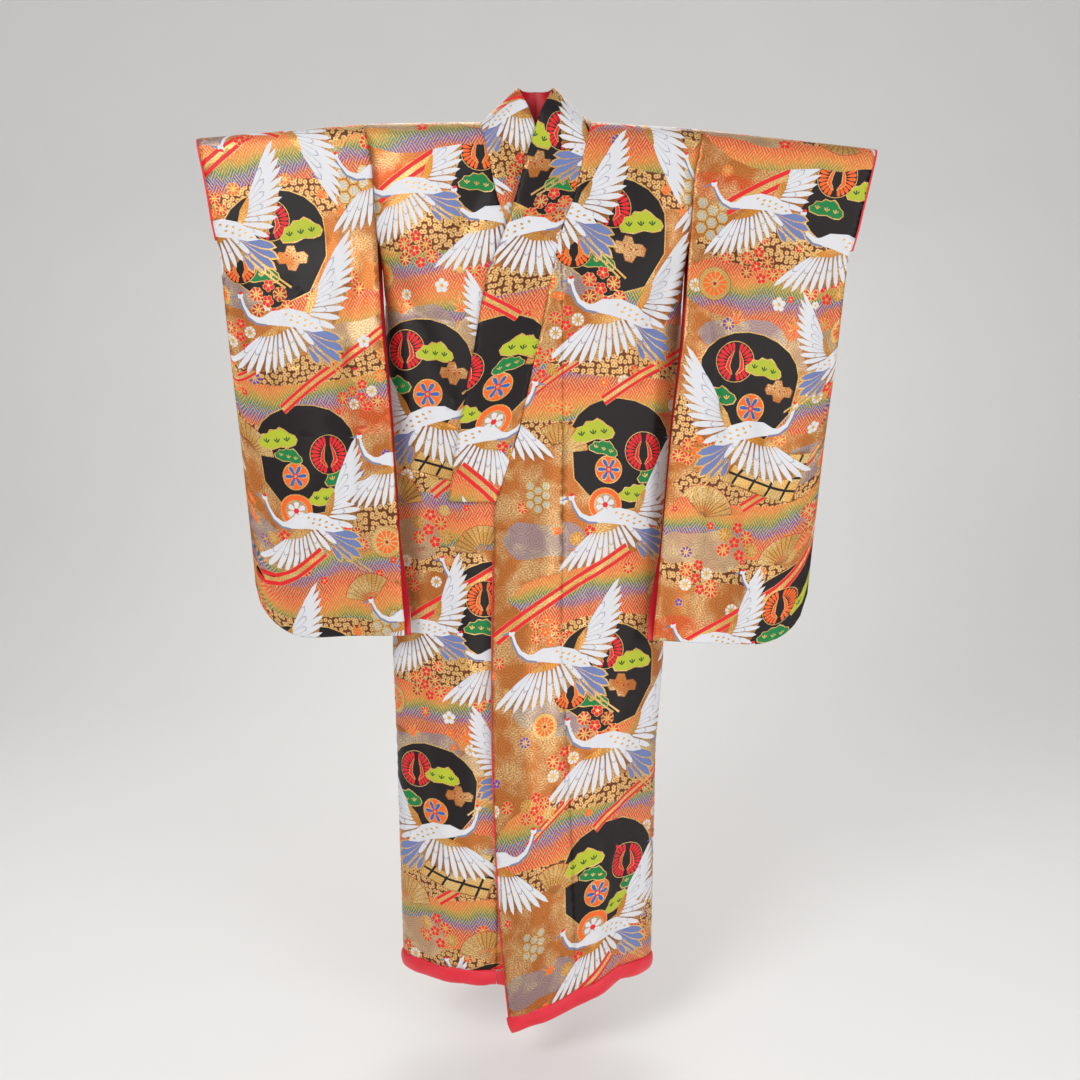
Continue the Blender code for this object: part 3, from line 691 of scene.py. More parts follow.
MOTIFS = {
    "crane": crane, "roundel": roundel, "pine": pine, "cloud": tan_cloud, "ball": ball, "ring": flower_ring,
    "maple": maple, "hexagons": hexagons, "fan": folding_fan, "wheel": wheel, "field": black_field,
    "lattice": lattice, "ribbon": ribbon, "flower": flower, "plum": plum,
}

REPEAT = 0.90
# One repeat of the woven design, as two halves of its width: place across, place along, turn, size.
DESIGN_A = (
    ("field", 0.155, 0.245, 4, 1.0), ("field", 0.178, 0.680, -6, 1.02), ("fan", 0.295, 0.065, 20, 0.9),
    ("fan", 0.055, 0.66, -24, 0.9), ("ribbon", 0.055, 0.070, 35, 1.0), ("ribbon", 0.255, 0.50, 32, 0.8),
    ("ribbon", 0.070, 0.505, 36, 0.6), ("hexagons", 0.330, 0.150, 0, 0.9),
    ("hexagons", 0.005, 0.775, 0, 0.7), ("wheel", 0.345, 0.860, 0, 1.0),
    ("roundel", 0.150, 0.192, 0, 1.0), ("pine", 0.212, 0.222, 6, 1.0),
    ("pine_green", 0.120, 0.300, -8, 0.9), ("cloud", 0.190, 0.272, 0, 1.0),
    ("maple", 0.262, 0.152, -20, 1.3), ("maple", 0.300, 0.190, 30, 1.1),
    ("roundel_orange", 0.075, 0.275, 0, 0.95), ("pine", 0.118, 0.640, 8, 1.0),
    ("pine", 0.215, 0.765, -6, 0.9), ("pine_green", 0.255, 0.720, 10, 0.9),
    ("roundel", 0.228, 0.672, 0, 1.0), ("ball", 0.152, 0.712, 0, 0.95),
    ("pine_green", 0.140, 0.672, -14, 0.7), ("ring", 0.146, 0.785, 0, 1.0),
    ("maple", 0.045, 0.840, 10, 1.3), ("wheel", 0.020, 0.340, 0, 0.8), ("posy", 0.130, 0.352, 0, 1.0),
    ("posy", 0.060, 0.425, 0, 0.9), ("posy", 0.290, 0.330, 0, 0.9), ("posy", 0.110, 0.872, 0, 1.0),
    ("posy", 0.255, 0.850, 0, 0.9), ("posy", 0.315, 0.560, 0, 0.8), ("posy", 0.020, 0.150, 0, 0.8),
    ("crane", 0.167, 0.395, 0, 1.05), ("crane", 0.172, 0.815, 6, 1.0), ("crane", 0.045, 0.205, 2, 1.0),
    ("crane_back", -0.095, 0.590, -2, 1.0), ("posy", 0.000, 0.500, 0, 0.8),
    ("plum_white", 0.330, 0.450, 0, 1.2), ("crane", 0.395, 0.120, 8, 0.95),
    ("crane", 0.385, 0.700, -6, 0.95),
)
DESIGN_B = (
    ("field", -0.240, 0.520, -4, 1.0), ("field", -0.085, 0.110, 6, 0.95),
    ("fan", -0.300, 0.770, -20, 1.0), ("fan", -0.120, 0.870, 24, 0.9), ("ribbon", -0.200, 0.095, 33, 1.1),
    ("ribbon", -0.105, 0.690, 34, 0.8), ("hexagons", -0.345, 0.200, 0, 0.9),
    ("lattice", -0.174, 0.690, -4, 1.1), ("roundel", -0.272, 0.470, 0, 1.0),
    ("pine_green", -0.300, 0.548, 8, 0.9), ("pine", -0.208, 0.480, -8, 0.9),
    ("cloud", -0.168, 0.520, 0, 0.9), ("ball", -0.225, 0.560, 0, 1.0),
    ("roundel_orange", -0.110, 0.085, 0, 0.95), ("pine", -0.045, 0.110, 4, 0.9),
    ("pine_green", -0.118, 0.150, -8, 0.8), ("ring", -0.025, 0.700, 0, 0.9),
    ("wheel", -0.330, 0.320, 0, 1.0), ("wheel", -0.040, 0.400, 0, 0.9), ("maple", -0.150, 0.390, 12, 1.4),
    ("maple", -0.280, 0.390, -22, 1.2), ("posy", -0.100, 0.300, 0, 1.0), ("posy", -0.245, 0.275, 0, 0.9),
    ("posy", -0.060, 0.520, 0, 0.9), ("posy", -0.330, 0.660, 0, 0.9), ("posy", -0.230, 0.840, 0, 1.0),
    ("posy", -0.040, 0.820, 0, 0.9), ("posy", -0.310, 0.020, 0, 0.9),
    ("plum_white", -0.190, 0.345, 0, 1.3), ("plum_white", -0.080, 0.600, 0, 1.2),
    ("crane_back", -0.220, 0.610, 4, 1.05), ("crane", -0.070, 0.215, 0, 1.0),
    ("crane", -0.255, 0.155, 12, 0.9), ("crane_back", -0.030, 0.460, -4, 0.85),
    ("crane", -0.115, 0.945, 4, 0.9),
)
# Banks of fret and of florets: place across, place along, width, height.
BANKS_A = (
    ("fret", 0.17, 0.085, 0.46, 0.135), ("floret", 0.20, 0.155, 0.34, 0.070),
    ("fret", 0.16, 0.560, 0.52, 0.150), ("floret", 0.22, 0.495, 0.40, 0.060),
    ("floret", 0.05, 0.640, 0.26, 0.060), ("orange_ground", 0.30, 0.61, 0.2, 0.05),
    ("lilac", 0.06, 0.315, 0.22, 0.09), ("tan", 0.27, 0.415, 0.20, 0.09),
    ("fret", 0.27, 0.375, 0.26, 0.075), ("floret", 0.33, 0.790, 0.22, 0.10),
    ("lilac", 0.02, 0.860, 0.18, 0.08), ("fret", 0.30, 0.905, 0.24, 0.06),
)
BANKS_B = (
    ("fret", -0.17, 0.325, 0.50, 0.150), ("floret", -0.18, 0.240, 0.40, 0.070),
    ("fret", -0.15, 0.810, 0.52, 0.150), ("floret", -0.20, 0.730, 0.36, 0.065),
    ("floret", -0.25, 0.905, 0.30, 0.06), ("lilac", -0.26, 0.420, 0.2, 0.07),
    ("tan", -0.06, 0.440, 0.22, 0.10), ("fret", -0.06, 0.565, 0.26, 0.08),
    ("orange_ground", -0.31, 0.13, 0.2, 0.05), ("lilac", -0.06, 0.680, 0.18, 0.08),
    ("floret", -0.33, 0.600, 0.16, 0.10), ("tan", -0.30, 0.86, 0.2, 0.08),
)
POSY_YARNS = (("red", "red", "gold"), ("red", "deep_red", "red"), ("red", "white", "red"),
              ("orange", "red", "red"))


GROW = {"crane": 1.16, "field": 1.16, "posy": 1.12, "fan": 1.2, "pine": 1.1, "ribbon": 1.15, "lattice": 1.15}


def draw(cloth, name, x, q, turn, size, seed):
    kind, _, variant = name.partition("_")
    pen = cloth.pen(x, q, turn, size * GROW.get(kind, 1.0), variant == "back")
    if kind == "posy":
        posy(pen, POSY_YARNS[seed % len(POSY_YARNS)], seed)
    elif variant in ("orange", "white"):
        MOTIFS[kind](pen, variant)
    elif variant == "green":
        pine(pen, "green", "gold_line")
    else:
        MOTIFS[kind](pen)


def weave(design, banks, shift, reach, low, seed):
    """The whole drawing of one width of cloth, from the back hem over the shoulder to the front hem."""
    cloth = Cloth(shift)
    rng = random.Random(seed)
    for facing in (1, -1):
        for k in range(-1, int(reach / REPEAT) + 2):
            places = []
            for index, (kind, x, q, wide, tall) in enumerate(banks):
                along = q + k * REPEAT
                if -0.12 < along < reach + 0.15:
                    mist(cloth.pen(x, facing * max(along, 1e-6)), wide, tall, kind, index + 1)
            for _ in range(50 if facing > 0 else 36):
                x, along = rng.uniform(*low), rng.uniform(0, REPEAT) + k * REPEAT
                yarn = rng.choice(("red", "red", "red", "ground_pale", "orange", "orange", "purple", "white"))
                size = rng.uniform(0.60, 1.15)
                if 0 < along < reach:
                    places.append((x, along, yarn, size))
            for x, along, yarn, size in places:
                pen = cloth.pen(x, facing * along, rng.uniform(0, 90), size)
                (flower if size > 0.85 else plum)(pen, yarn)
            for index, (name, x, q, turn, size) in enumerate(design):
                along = q + k * REPEAT
                if -0.10 < along < reach + 0.12:
                    draw(cloth, name, x, facing * max(along, 1e-6), turn, size, index + 3)
    return cloth


# Laying the woven drawing on the form ---------------------------------------------------------

SEAM_WIDTH = 0.0045   # the cloth rolls down to a seam within this
SEAM_DEPTH = 0.0012
RIM = 0.0028          # cloth turned in at an edge
BAND = 0.07           # length of cloth cut at a time
WELD = 4e-6
CREASE_DEEPEN = 1.6   # every crease is this much deeper than its row says
LINING_NET = 0.026
LINING_LEVEL = 0.0004 - WALL / 2
STRIPE_SOFT = 0.06    # soft side of a stripe, as a share of its pitch
TWILL_RIB = 0.0016    # a little coarser than the real rib, so that it shows
TWILL_SLANT = 28
FRET_CELL = 0.0160
FRET_SLANT = 31
RAINBOW_RUN = 0.118   # one run through the colours


def edge_distance(points, outline):
    ends = np.roll(outline, -1, axis=0)
    best = np.full(len(points), 1e9)
    for a, b in zip(outline, ends):
        run = b - a
        t = np.clip(((points - a) @ run) / max(run @ run, 1e-12), 0, 1)
        best = np.minimum(best, np.linalg.norm(points - a - t[:, None] * run, axis=1))
    return best


def densify(outline, step):
    out = []
    for a, b in zip(outline, np.roll(outline, -1, axis=0)):
        if np.linalg.norm(b - a) < 1e-6:
            continue
        count = max(int(np.ceil(np.linalg.norm(b - a) / step)), 1)
        out += [a + (b - a) * k / count for k in range(count)]
    return np.array(out)


def anticlockwise(outline):
    points = np.array(outline, float)
    ends = np.roll(points, -1, axis=0)
    return points if (points[:, 0] * ends[:, 1] - ends[:, 0] * points[:, 1]).sum() > 0 else points[::-1]


def clip(outline, low, high):
    """The part of an outline between two lengths along the cloth."""
    for limit, sign in ((low, 1), (high, -1)):
        out = []
        for a, b in zip(outline, np.roll(outline, -1, axis=0)):
            inside_a, inside_b = sign * (a[1] - limit) >= 0, sign * (b[1] - limit) >= 0
            if inside_a:
                out.append(a)
            if inside_a != inside_b:
                out.append(np.array([a[0] + (b[0] - a[0]) * (limit - a[1]) / (b[1] - a[1]), limit]))
        outline = np.array(out)
    return outline


def cut_band(outline, shapes, spacing):
    """Triangles over one band of the cloth, with the yarn of the top shape of each."""
    outline = densify(outline, spacing)
    low, high = outline.min(0), outline.max(0)
    verts, faces, yarns = [outline], [np.arange(len(outline))], [None]
    count = len(outline)
    for points, yarn, start, end in shapes:
        if (end < low).any() or (start > high).any():
            continue
        verts.append(points)
        faces.append(np.arange(count, count + len(points)))
        yarns.append(yarn)
        count += len(points)
    grid = np.stack(np.meshgrid(np.arange(low[0], high[0], spacing) + spacing / 2,
                                np.arange(low[1], high[1], spacing) + spacing / 2), -1).reshape(-1, 2)
    grid[:, 0] += (np.round(grid[:, 1] / spacing) % 2) * spacing / 2
    verts.append(grid)
    made = delaunay_2d_cdt([Vector(v) for v in np.concatenate(verts).tolist()], [],
                           [f.tolist() for f in faces], 1, 1e-6, True)
    tris, top = [], []
    for face, origin in zip(made[2], made[5]):
        if 0 in origin:
            tris.append(face)
            top.append(yarns[max(origin)])
    return np.array([tuple(v) for v in made[0]]), np.array(tris), top


def cut_net(outline, shapes, spacing):
    """One net of triangles over an outline, cut along every woven shape, made band by band and welded."""
    outline = anticlockwise(outline)
    shapes = [(points, yarn, points.min(0), points.max(0))
              for points, yarn in ((anticlockwise(points), yarn) for points, yarn in shapes)]
    lines = np.linspace(outline[:, 1].min(), outline[:, 1].max(),
                        max(round(float(np.ptp(outline[:, 1])) / BAND), 1) + 1)
    flat, tris, top, count = [], [], [], 0
    for low, high in zip(lines, lines[1:]):
        points, faces, yarns = cut_band(clip(outline, low, high), shapes, spacing)
        flat.append(points)
        tris.append(faces + count)
        top += yarns
        count += len(points)
    flat, tris = np.concatenate(flat), np.concatenate(tris)
    same = np.arange(len(flat))
    for line in lines[1:-1]:
        on = np.nonzero(np.abs(flat[:, 1] - line) < WELD)[0]
        on = on[np.argsort(flat[on, 0])]
        group = np.concatenate([[0], np.cumsum(np.diff(flat[on, 0]) > WELD)])
        same[on] = on[np.searchsorted(group, group)]
    tris = same[tris]
    a, b, c = (flat[tris[:, k]] for k in range(3))
    area = (b[:, 0] - a[:, 0]) * (c[:, 1] - a[:, 1]) - (b[:, 1] - a[:, 1]) * (c[:, 0] - a[:, 0])
    keep = np.abs(area) > 1e-11
    tris, area, top = tris[keep], area[keep], [t for t, k in zip(top, keep) if k]
    tris[area < 0] = tris[area < 0][:, ::-1]
    used, index = np.unique(tris, return_inverse=True)
    return flat[used], index.reshape(-1, 3), top, outline


def cloth_piece(name, outline, shapes, ground, place, level, spacing, side):
    """Lays one net on the form. level lifts it off the middle of the wall: above 0 is the outer skin."""
    flat, tris, top, outline = cut_net(outline, shapes, spacing)
    points, normals = place(flat)
    points = points + normals * level
    if level > 0:
        near = edge_distance(flat, outline)
        points -= normals * (SEAM_DEPTH * (1 - smooth(0, SEAM_WIDTH, near)))[:, None]
    a, b, c = (points[tris[:, k]] for k in range(3))
    turned = np.einsum("ij,ij->i", np.cross(b - a, c - a), normals[tris[:, 0]]).sum() < 0
    if turned != (level < 0):
        tris = tris[:, ::-1]
    yarns = [ground if y is None else y for y in top]
    if level > 0:
        points, flat, tris, yarns = turn_in(points, flat, tris, yarns, normals)
    obj = mesh_object(name, points, tris)
    mesh = obj.data
    uv = mesh.uv_layers.new(name="cloth")
    corners = flat[tris.reshape(-1)] * [side, 1]
    uv.data.foreach_set("uv", corners.astype(np.float32).reshape(-1))
    dyes = np.array([linear(YARNS[y][1]) for y in YARN_NAMES])
    picked = np.array([YARN_NAMES.index(y) for y in yarns])
    dye = mesh.color_attributes.new("dye", "FLOAT_COLOR", "CORNER")
    dye.data.foreach_set("color", dyes[picked].repeat(3, 0).astype(np.float32).reshape(-1))
    kinds = np.array([YARNS[y][0] for y in YARN_NAMES], np.int32)
    mesh.polygons.foreach_set("material_index", kinds[picked])
    return obj


def turn_in(points, flat, tris, yarns, normals):
    """Adds the narrow rim where the cloth turns in at its edges."""
    edges = np.concatenate([tris[:, [0, 1]], tris[:, [1, 2]], tris[:, [2, 0]]])
    owner = np.tile(np.arange(len(tris)), 3)
    _, index, count = np.unique(np.sort(edges, 1), axis=0, return_inverse=True, return_counts=True)
    rim = count[index.reshape(-1)] == 1
    edges, owner = edges[rim], owner[rim]
    corners, local = np.unique(edges, return_inverse=True)
    local = local.reshape(-1, 2) + len(points)
    under = points[corners] - normals[corners] * RIM
    quads = np.concatenate([np.stack([edges[:, 1], edges[:, 0], local[:, 0]], 1),
                            np.stack([edges[:, 1], local[:, 0], local[:, 1]], 1)])
    yarns = yarns + [yarns[k] for k in owner] * 2
    flat = np.concatenate([flat, flat[corners]])
    return np.concatenate([points, under]), flat, np.concatenate([tris, quads]), yarns


def mesh_object(name, points, tris):
    mesh = bpy.data.meshes.new(name)
    mesh.vertices.add(len(points))
    mesh.vertices.foreach_set("co", np.asarray(points, np.float32).reshape(-1))
    mesh.loops.add(len(tris) * 3)
    mesh.loops.foreach_set("vertex_index", np.asarray(tris, np.int32).reshape(-1))
    mesh.polygons.add(len(tris))
    mesh.polygons.foreach_set("loop_start", np.arange(0, len(tris) * 3, 3, dtype=np.int32))
    mesh.update(calc_edges=True)
    mesh.shade_smooth()
    obj = bpy.data.objects.new(name, mesh)
    bpy.context.scene.collection.objects.link(obj)
    return obj


def linear(hex_colour, alpha=1.0):
    """sRGB hex to linear."""
    parts = [int(hex_colour[k:k + 2], 16) / 255 for k in (1, 3, 5)]
    return (*[c / 12.92 if c <= 0.04045 else ((c + 0.055) / 1.055) ** 2.4 for c in parts], alpha)


# Materials ------------------------------------------------------------------------------------


def add(tree, kind, inputs=None, out=0, **settings):
    """Adds a node. Its inputs, by place or name, are other nodes' outputs or plain values."""
    node = tree.nodes.new(kind)
    for key, value in settings.items():
        setattr(node, key, value)
    for key, value in (inputs or {}).items():
        if isinstance(value, bpy.types.NodeSocket):
            tree.links.new(value, node.inputs[key])
        else:
            node.inputs[key].default_value = value
    return node.outputs[out] if node.outputs else node


def new_material(name, roughness, metallic=0.0, sheen=0.0):
    material = bpy.data.materials.new(name)
    material.use_nodes = True
    tree = material.node_tree
    shader = tree.nodes["Principled BSDF"]
    shader.inputs["Roughness"].default_value = roughness
    shader.inputs["Metallic"].default_value = metallic
    shader.inputs["Sheen Weight"].default_value = sheen
    shader.inputs["Sheen Roughness"].default_value = 0.35
    return material, tree, shader


def cloth_axes(tree, degrees=0.0):
    """Across and along the cloth in metres, turned by an angle."""
    uv = add(tree, "ShaderNodeUVMap", uv_map="cloth")
    turned = add(tree, "ShaderNodeMapping", {0: uv, 2: (0, 0, math.radians(degrees))})
    split = add(tree, "ShaderNodeSeparateXYZ", {0: turned}).node
    return uv, split.outputs[0], split.outputs[1]


def stripes(tree, value, pitch, share):
    """1 on a share of each pitch, with soft sides."""
    step = add(tree, "ShaderNodeMath", {0: value, 1: pitch}, operation="DIVIDE")
    phase = add(tree, "ShaderNodeMath", {0: step}, operation="FRACT")
    from_middle = add(tree, "ShaderNodeMath", {0: phase, 1: 0.5}, operation="SUBTRACT")
    off = add(tree, "ShaderNodeMath", {0: from_middle}, operation="ABSOLUTE")
    return add(tree, "ShaderNodeMapRange",
               {0: off, 1: share / 2 + STRIPE_SOFT, 2: share / 2 - STRIPE_SOFT, 3: 0.0, 4: 1.0})


def weave_bump(tree, shader, depth):
    """Twill ribs and the grain of the threads."""
    _, _, slant = cloth_axes(tree, TWILL_SLANT)
    ribs = stripes(tree, slant, TWILL_RIB, 0.55)
    uv, _, _ = cloth_axes(tree)
    grain = add(tree, "ShaderNodeTexNoise", {0: uv, 2: 420.0, 3: 2.0})
    half = add(tree, "ShaderNodeMath", {0: ribs, 1: 0.5}, operation="MULTIPLY")
    height = add(tree, "ShaderNodeMath", {0: half, 1: grain}, operation="ADD")
    bump = add(tree, "ShaderNodeBump", {"Height": height, "Strength": depth, "Distance": 0.0006})
    tree.links.new(bump, shader.inputs["Normal"])
    return ribs


def shade_by(tree, colour, factor, low, high):
    """Darkens and lightens a colour between two multiples of itself."""
    level = add(tree, "ShaderNodeMapRange", {0: factor, 1: 0.0, 2: 1.0, 3: low, 4: high})
    grey = add(tree, "ShaderNodeCombineColor", {0: level, 1: level, 2: level})
    return add(tree, "ShaderNodeMix", {0: 1.0, 6: colour, 7: grey}, out=2, data_type="RGBA",
               blend_type="MULTIPLY")


def figure_silk():
    """Glossed silk weft floats in clear dyed colours, with a faint sheen; the rib tops carry painted light
    and the rib grooves painted shade.
    """
    material, tree, shader = new_material("silk_weft_figure", 0.44, sheen=0.04)
    shader.inputs["Specular IOR Level"].default_value = 0.32
    ribs = weave_bump(tree, shader, 0.45)
    dye = add(tree, "ShaderNodeVertexColor", layer_name="dye")
    # painted light on the rib tops and painted shade in the rib grooves: the dye runs from 0.80 to 1.06 of
    # itself across each rib
    tree.links.new(shade_by(tree, dye, ribs, 0.80, 1.06), shader.inputs["Base Color"])
    return material


def gold_thread():
    """Gilt-paper thread: painted glint specks in broad patches mix pale gold into the dye; painted light and
    shade on the ribs.
    """
    material, tree, shader = new_material("gilt_paper_thread", 0.34, metallic=0.62)
    ribs = weave_bump(tree, shader, 0.8)
    uv, _, _ = cloth_axes(tree)
    stretch = add(tree, "ShaderNodeMapping", {0: uv, 3: (1.0, 2.6, 1.0)})
    # painted glint: fine stretched noise makes the specks, broad noise gathers them in patches, and together
    # they mix pale gold into the dye
    painted_glint_noise = add(tree, "ShaderNodeTexNoise", {0: stretch, 2: 210.0, 3: 3.0, 4: 0.65})
    painted_glint = add(tree, "ShaderNodeMapRange", {0: painted_glint_noise, 1: 0.40, 2: 0.66, 3: 0.0, 4: 1.0})
    glint_pool_noise = add(tree, "ShaderNodeTexNoise", {0: uv, 2: 17.0, 3: 2.0})
    painted_glint_pool = add(tree, "ShaderNodeMapRange", {0: glint_pool_noise, 1: 0.44, 2: 0.62, 3: 0.10, 4: 1.0})
    share = add(tree, "ShaderNodeMath", {0: painted_glint, 1: painted_glint_pool}, operation="MULTIPLY")
    dye = add(tree, "ShaderNodeVertexColor", layer_name="dye")
    colour = add(tree, "ShaderNodeMix", {0: share, 6: dye, 7: linear("#FBE3A4")}, out=2, data_type="RGBA")
    # painted light on the rib tops and painted shade in the rib grooves
    colour = shade_by(tree, colour, ribs, 0.72, 1.08)
    cells = add(tree, "ShaderNodeTexVoronoi", {0: uv, 2: 27.0, "Randomness": 0.45}, voronoi_dimensions="2D")
    ring = add(tree, "ShaderNodeMath", {0: stripes(tree, cells, 0.145, 0.34), 1: 0.55}, operation="MULTIPLY")
    dark = shade_by(tree, colour, ribs, 0.42, 0.52)
    colour = add(tree, "ShaderNodeMix", {0: ring, 6: colour, 7: dark}, out=2, data_type="RGBA")
    tree.links.new(colour, shader.inputs["Base Color"])
    return material


RAINBOW = ((0.00, "#D9281A"), (0.18, "#E8581A"), (0.34, "#DD7A1C"), (0.46, "#9A8A1E"), (0.56, "#1C7A45"),
           (0.66, "#2A5E9A"), (0.76, "#6E2F8E"), (0.86, "#C2402E"), (1.00, "#D9281A"))


def fret_strokes(tree):
    """Slanting strokes that change hand from one cell to the next, as in a key fret."""
    _, a, _ = cloth_axes(tree, FRET_SLANT)
    _, b, _ = cloth_axes(tree, 180 - FRET_SLANT)
    steps = []
    for way in (a, b):
        cell = add(tree, "ShaderNodeMath", {0: way, 1: FRET_CELL}, operation="DIVIDE")
        steps.append(add(tree, "ShaderNodeMath", {0: cell}, operation="FLOOR"))
    checks = add(tree, "ShaderNodeMath", {0: steps[0], 1: steps[1]}, operation="ADD")
    parity = add(tree, "ShaderNodeMath", {0: checks, 1: 2.0}, operation="MODULO")
    even = add(tree, "ShaderNodeMath", {0: parity}, operation="ABSOLUTE")
    one, other = (stripes(tree, way, FRET_CELL / 3, 0.46) for way in (a, b))
    return add(tree, "ShaderNodeMix", {0: even, 2: one, 3: other})


def rainbow_fret():
    """A key fret in gilt thread on a ground dyed in running rainbow steps."""
    material, tree, shader = new_material("rainbow_key_fret", 0.42, metallic=0.25, sheen=0.1)
    weave_bump(tree, shader, 0.6)
    uv, x, y = cloth_axes(tree)
    drift = add(tree, "ShaderNodeTexNoise", {0: uv, 2: 9.0, 3: 3.0})
    wave = add(tree, "ShaderNodeMath", {0: drift, 1: 0.075}, operation="MULTIPLY")
    slope = add(tree, "ShaderNodeMath", {0: x, 1: 0.10}, operation="MULTIPLY")
    waved = add(tree, "ShaderNodeMath", {0: y, 1: wave}, operation="ADD")
    run = add(tree, "ShaderNodeMath", {0: waved, 1: slope}, operation="ADD")
    turn = add(tree, "ShaderNodeMath", {0: run, 1: RAINBOW_RUN}, operation="DIVIDE")
    phase = add(tree, "ShaderNodeMath", {0: turn}, operation="FRACT")
    ramp = add(tree, "ShaderNodeValToRGB", {0: phase})
    stops = ramp.node.color_ramp.elements
    for index, (place, colour) in enumerate(RAINBOW):
        stop = stops[index] if index < 2 else stops.new(place)
        stop.position, stop.color = place, linear(colour)
    # painted glint: fine noise mixes the gilt of the fret from dark bronze to pale gold
    foil_glint_noise = add(tree, "ShaderNodeTexNoise", {0: uv, 2: 160.0, 3: 2.0})
    gilt = add(tree, "ShaderNodeMix", {0: foil_glint_noise, 6: linear("#A8602A"), 7: linear("#F3CE86")}, out=2,
               data_type="RGBA")
    share = add(tree, "ShaderNodeMath", {0: fret_strokes(tree), 1: 0.85}, operation="MULTIPLY")
    colour = add(tree, "ShaderNodeMix", {0: share, 6: ramp, 7: gilt}, out=2, data_type="RGBA")
    tree.links.new(colour, shader.inputs["Base Color"])
    return material


def floret_ground():
    """Close-set gilt florets on brown."""
    material, tree, shader = new_material("gilt_floret_ground", 0.36, metallic=0.5)
    weave_bump(tree, shader, 0.7)
    uv, _, _ = cloth_axes(tree)
    cells = add(tree, "ShaderNodeTexVoronoi", {0: uv, 2: 98.0, "Randomness": 0.6}, voronoi_dimensions="2D")
    heart = add(tree, "ShaderNodeMapRange", {0: cells, 1: 0.10, 2: 0.15, 3: 0.0, 4: 1.0})
    disc = add(tree, "ShaderNodeMapRange", {0: cells, 1: 0.50, 2: 0.40, 3: 0.0, 4: 1.0})
    # painted glint: fine noise mixes the gilt of the florets from dark bronze to pale gold
    foil_glint_noise = add(tree, "ShaderNodeTexNoise", {0: uv, 2: 190.0, 3: 2.0})
    colour = add(tree, "ShaderNodeMix", {0: foil_glint_noise, 6: linear("#B96F2A"), 7: linear("#FFDD94")}, out=2,
                 data_type="RGBA")
    for share, under in ((heart, "#8C3A1C"), (disc, "#6A3418")):
        colour = add(tree, "ShaderNodeMix", {0: share, 6: linear(under), 7: colour}, out=2, data_type="RGBA")
    tree.links.new(colour, shader.inputs["Base Color"])
    return material


def red_silk():
    """Plain habutae silk lining: a smooth, clear red with a low sheen."""
    material, tree, shader = new_material("red_habutae_silk", 0.50, sheen=0.4)
    place = add(tree, "ShaderNodeTexCoord", out="Object")
    grain = add(tree, "ShaderNodeTexNoise", {0: place, 2: 900.0, 3: 2.0})
    slub = add(tree, "ShaderNodeTexNoise", {0: place, 2: 26.0, 3: 3.0})
    colour = add(tree, "ShaderNodeMix", {0: slub, 6: linear("#C60C20"), 7: linear("#E6243A")}, out=2,
                 data_type="RGBA")
    tree.links.new(colour, shader.inputs["Base Color"])
    bump = add(tree, "ShaderNodeBump", {"Height": grain, "Strength": 0.25, "Distance": 0.0004})
    tree.links.new(bump, shader.inputs["Normal"])
    return material


def backdrop_paint(colour):
    """Matt painted backdrop board, with the faint unevenness of a roller."""
    material, tree, shader = new_material("painted_backdrop_board", 0.9)
    place = add(tree, "ShaderNodeTexCoord", out="Object")
    grain = add(tree, "ShaderNodeTexNoise", {0: place, 2: 3.0, 3: 2.0})
    shaded = shade_by(tree, (*colour, 1.0), grain, 0.985, 1.01)
    tree.links.new(shaded, shader.inputs["Base Color"])
    return material


MATERIALS = {}


def materials():
    if not MATERIALS:
        MATERIALS["brocade"] = [figure_silk(), gold_thread(), rainbow_fret(), floret_ground()]
        MATERIALS["red"] = red_silk()
    return MATERIALS


# Outlines of the pieces in the cloth's plane --------------------------------------------------

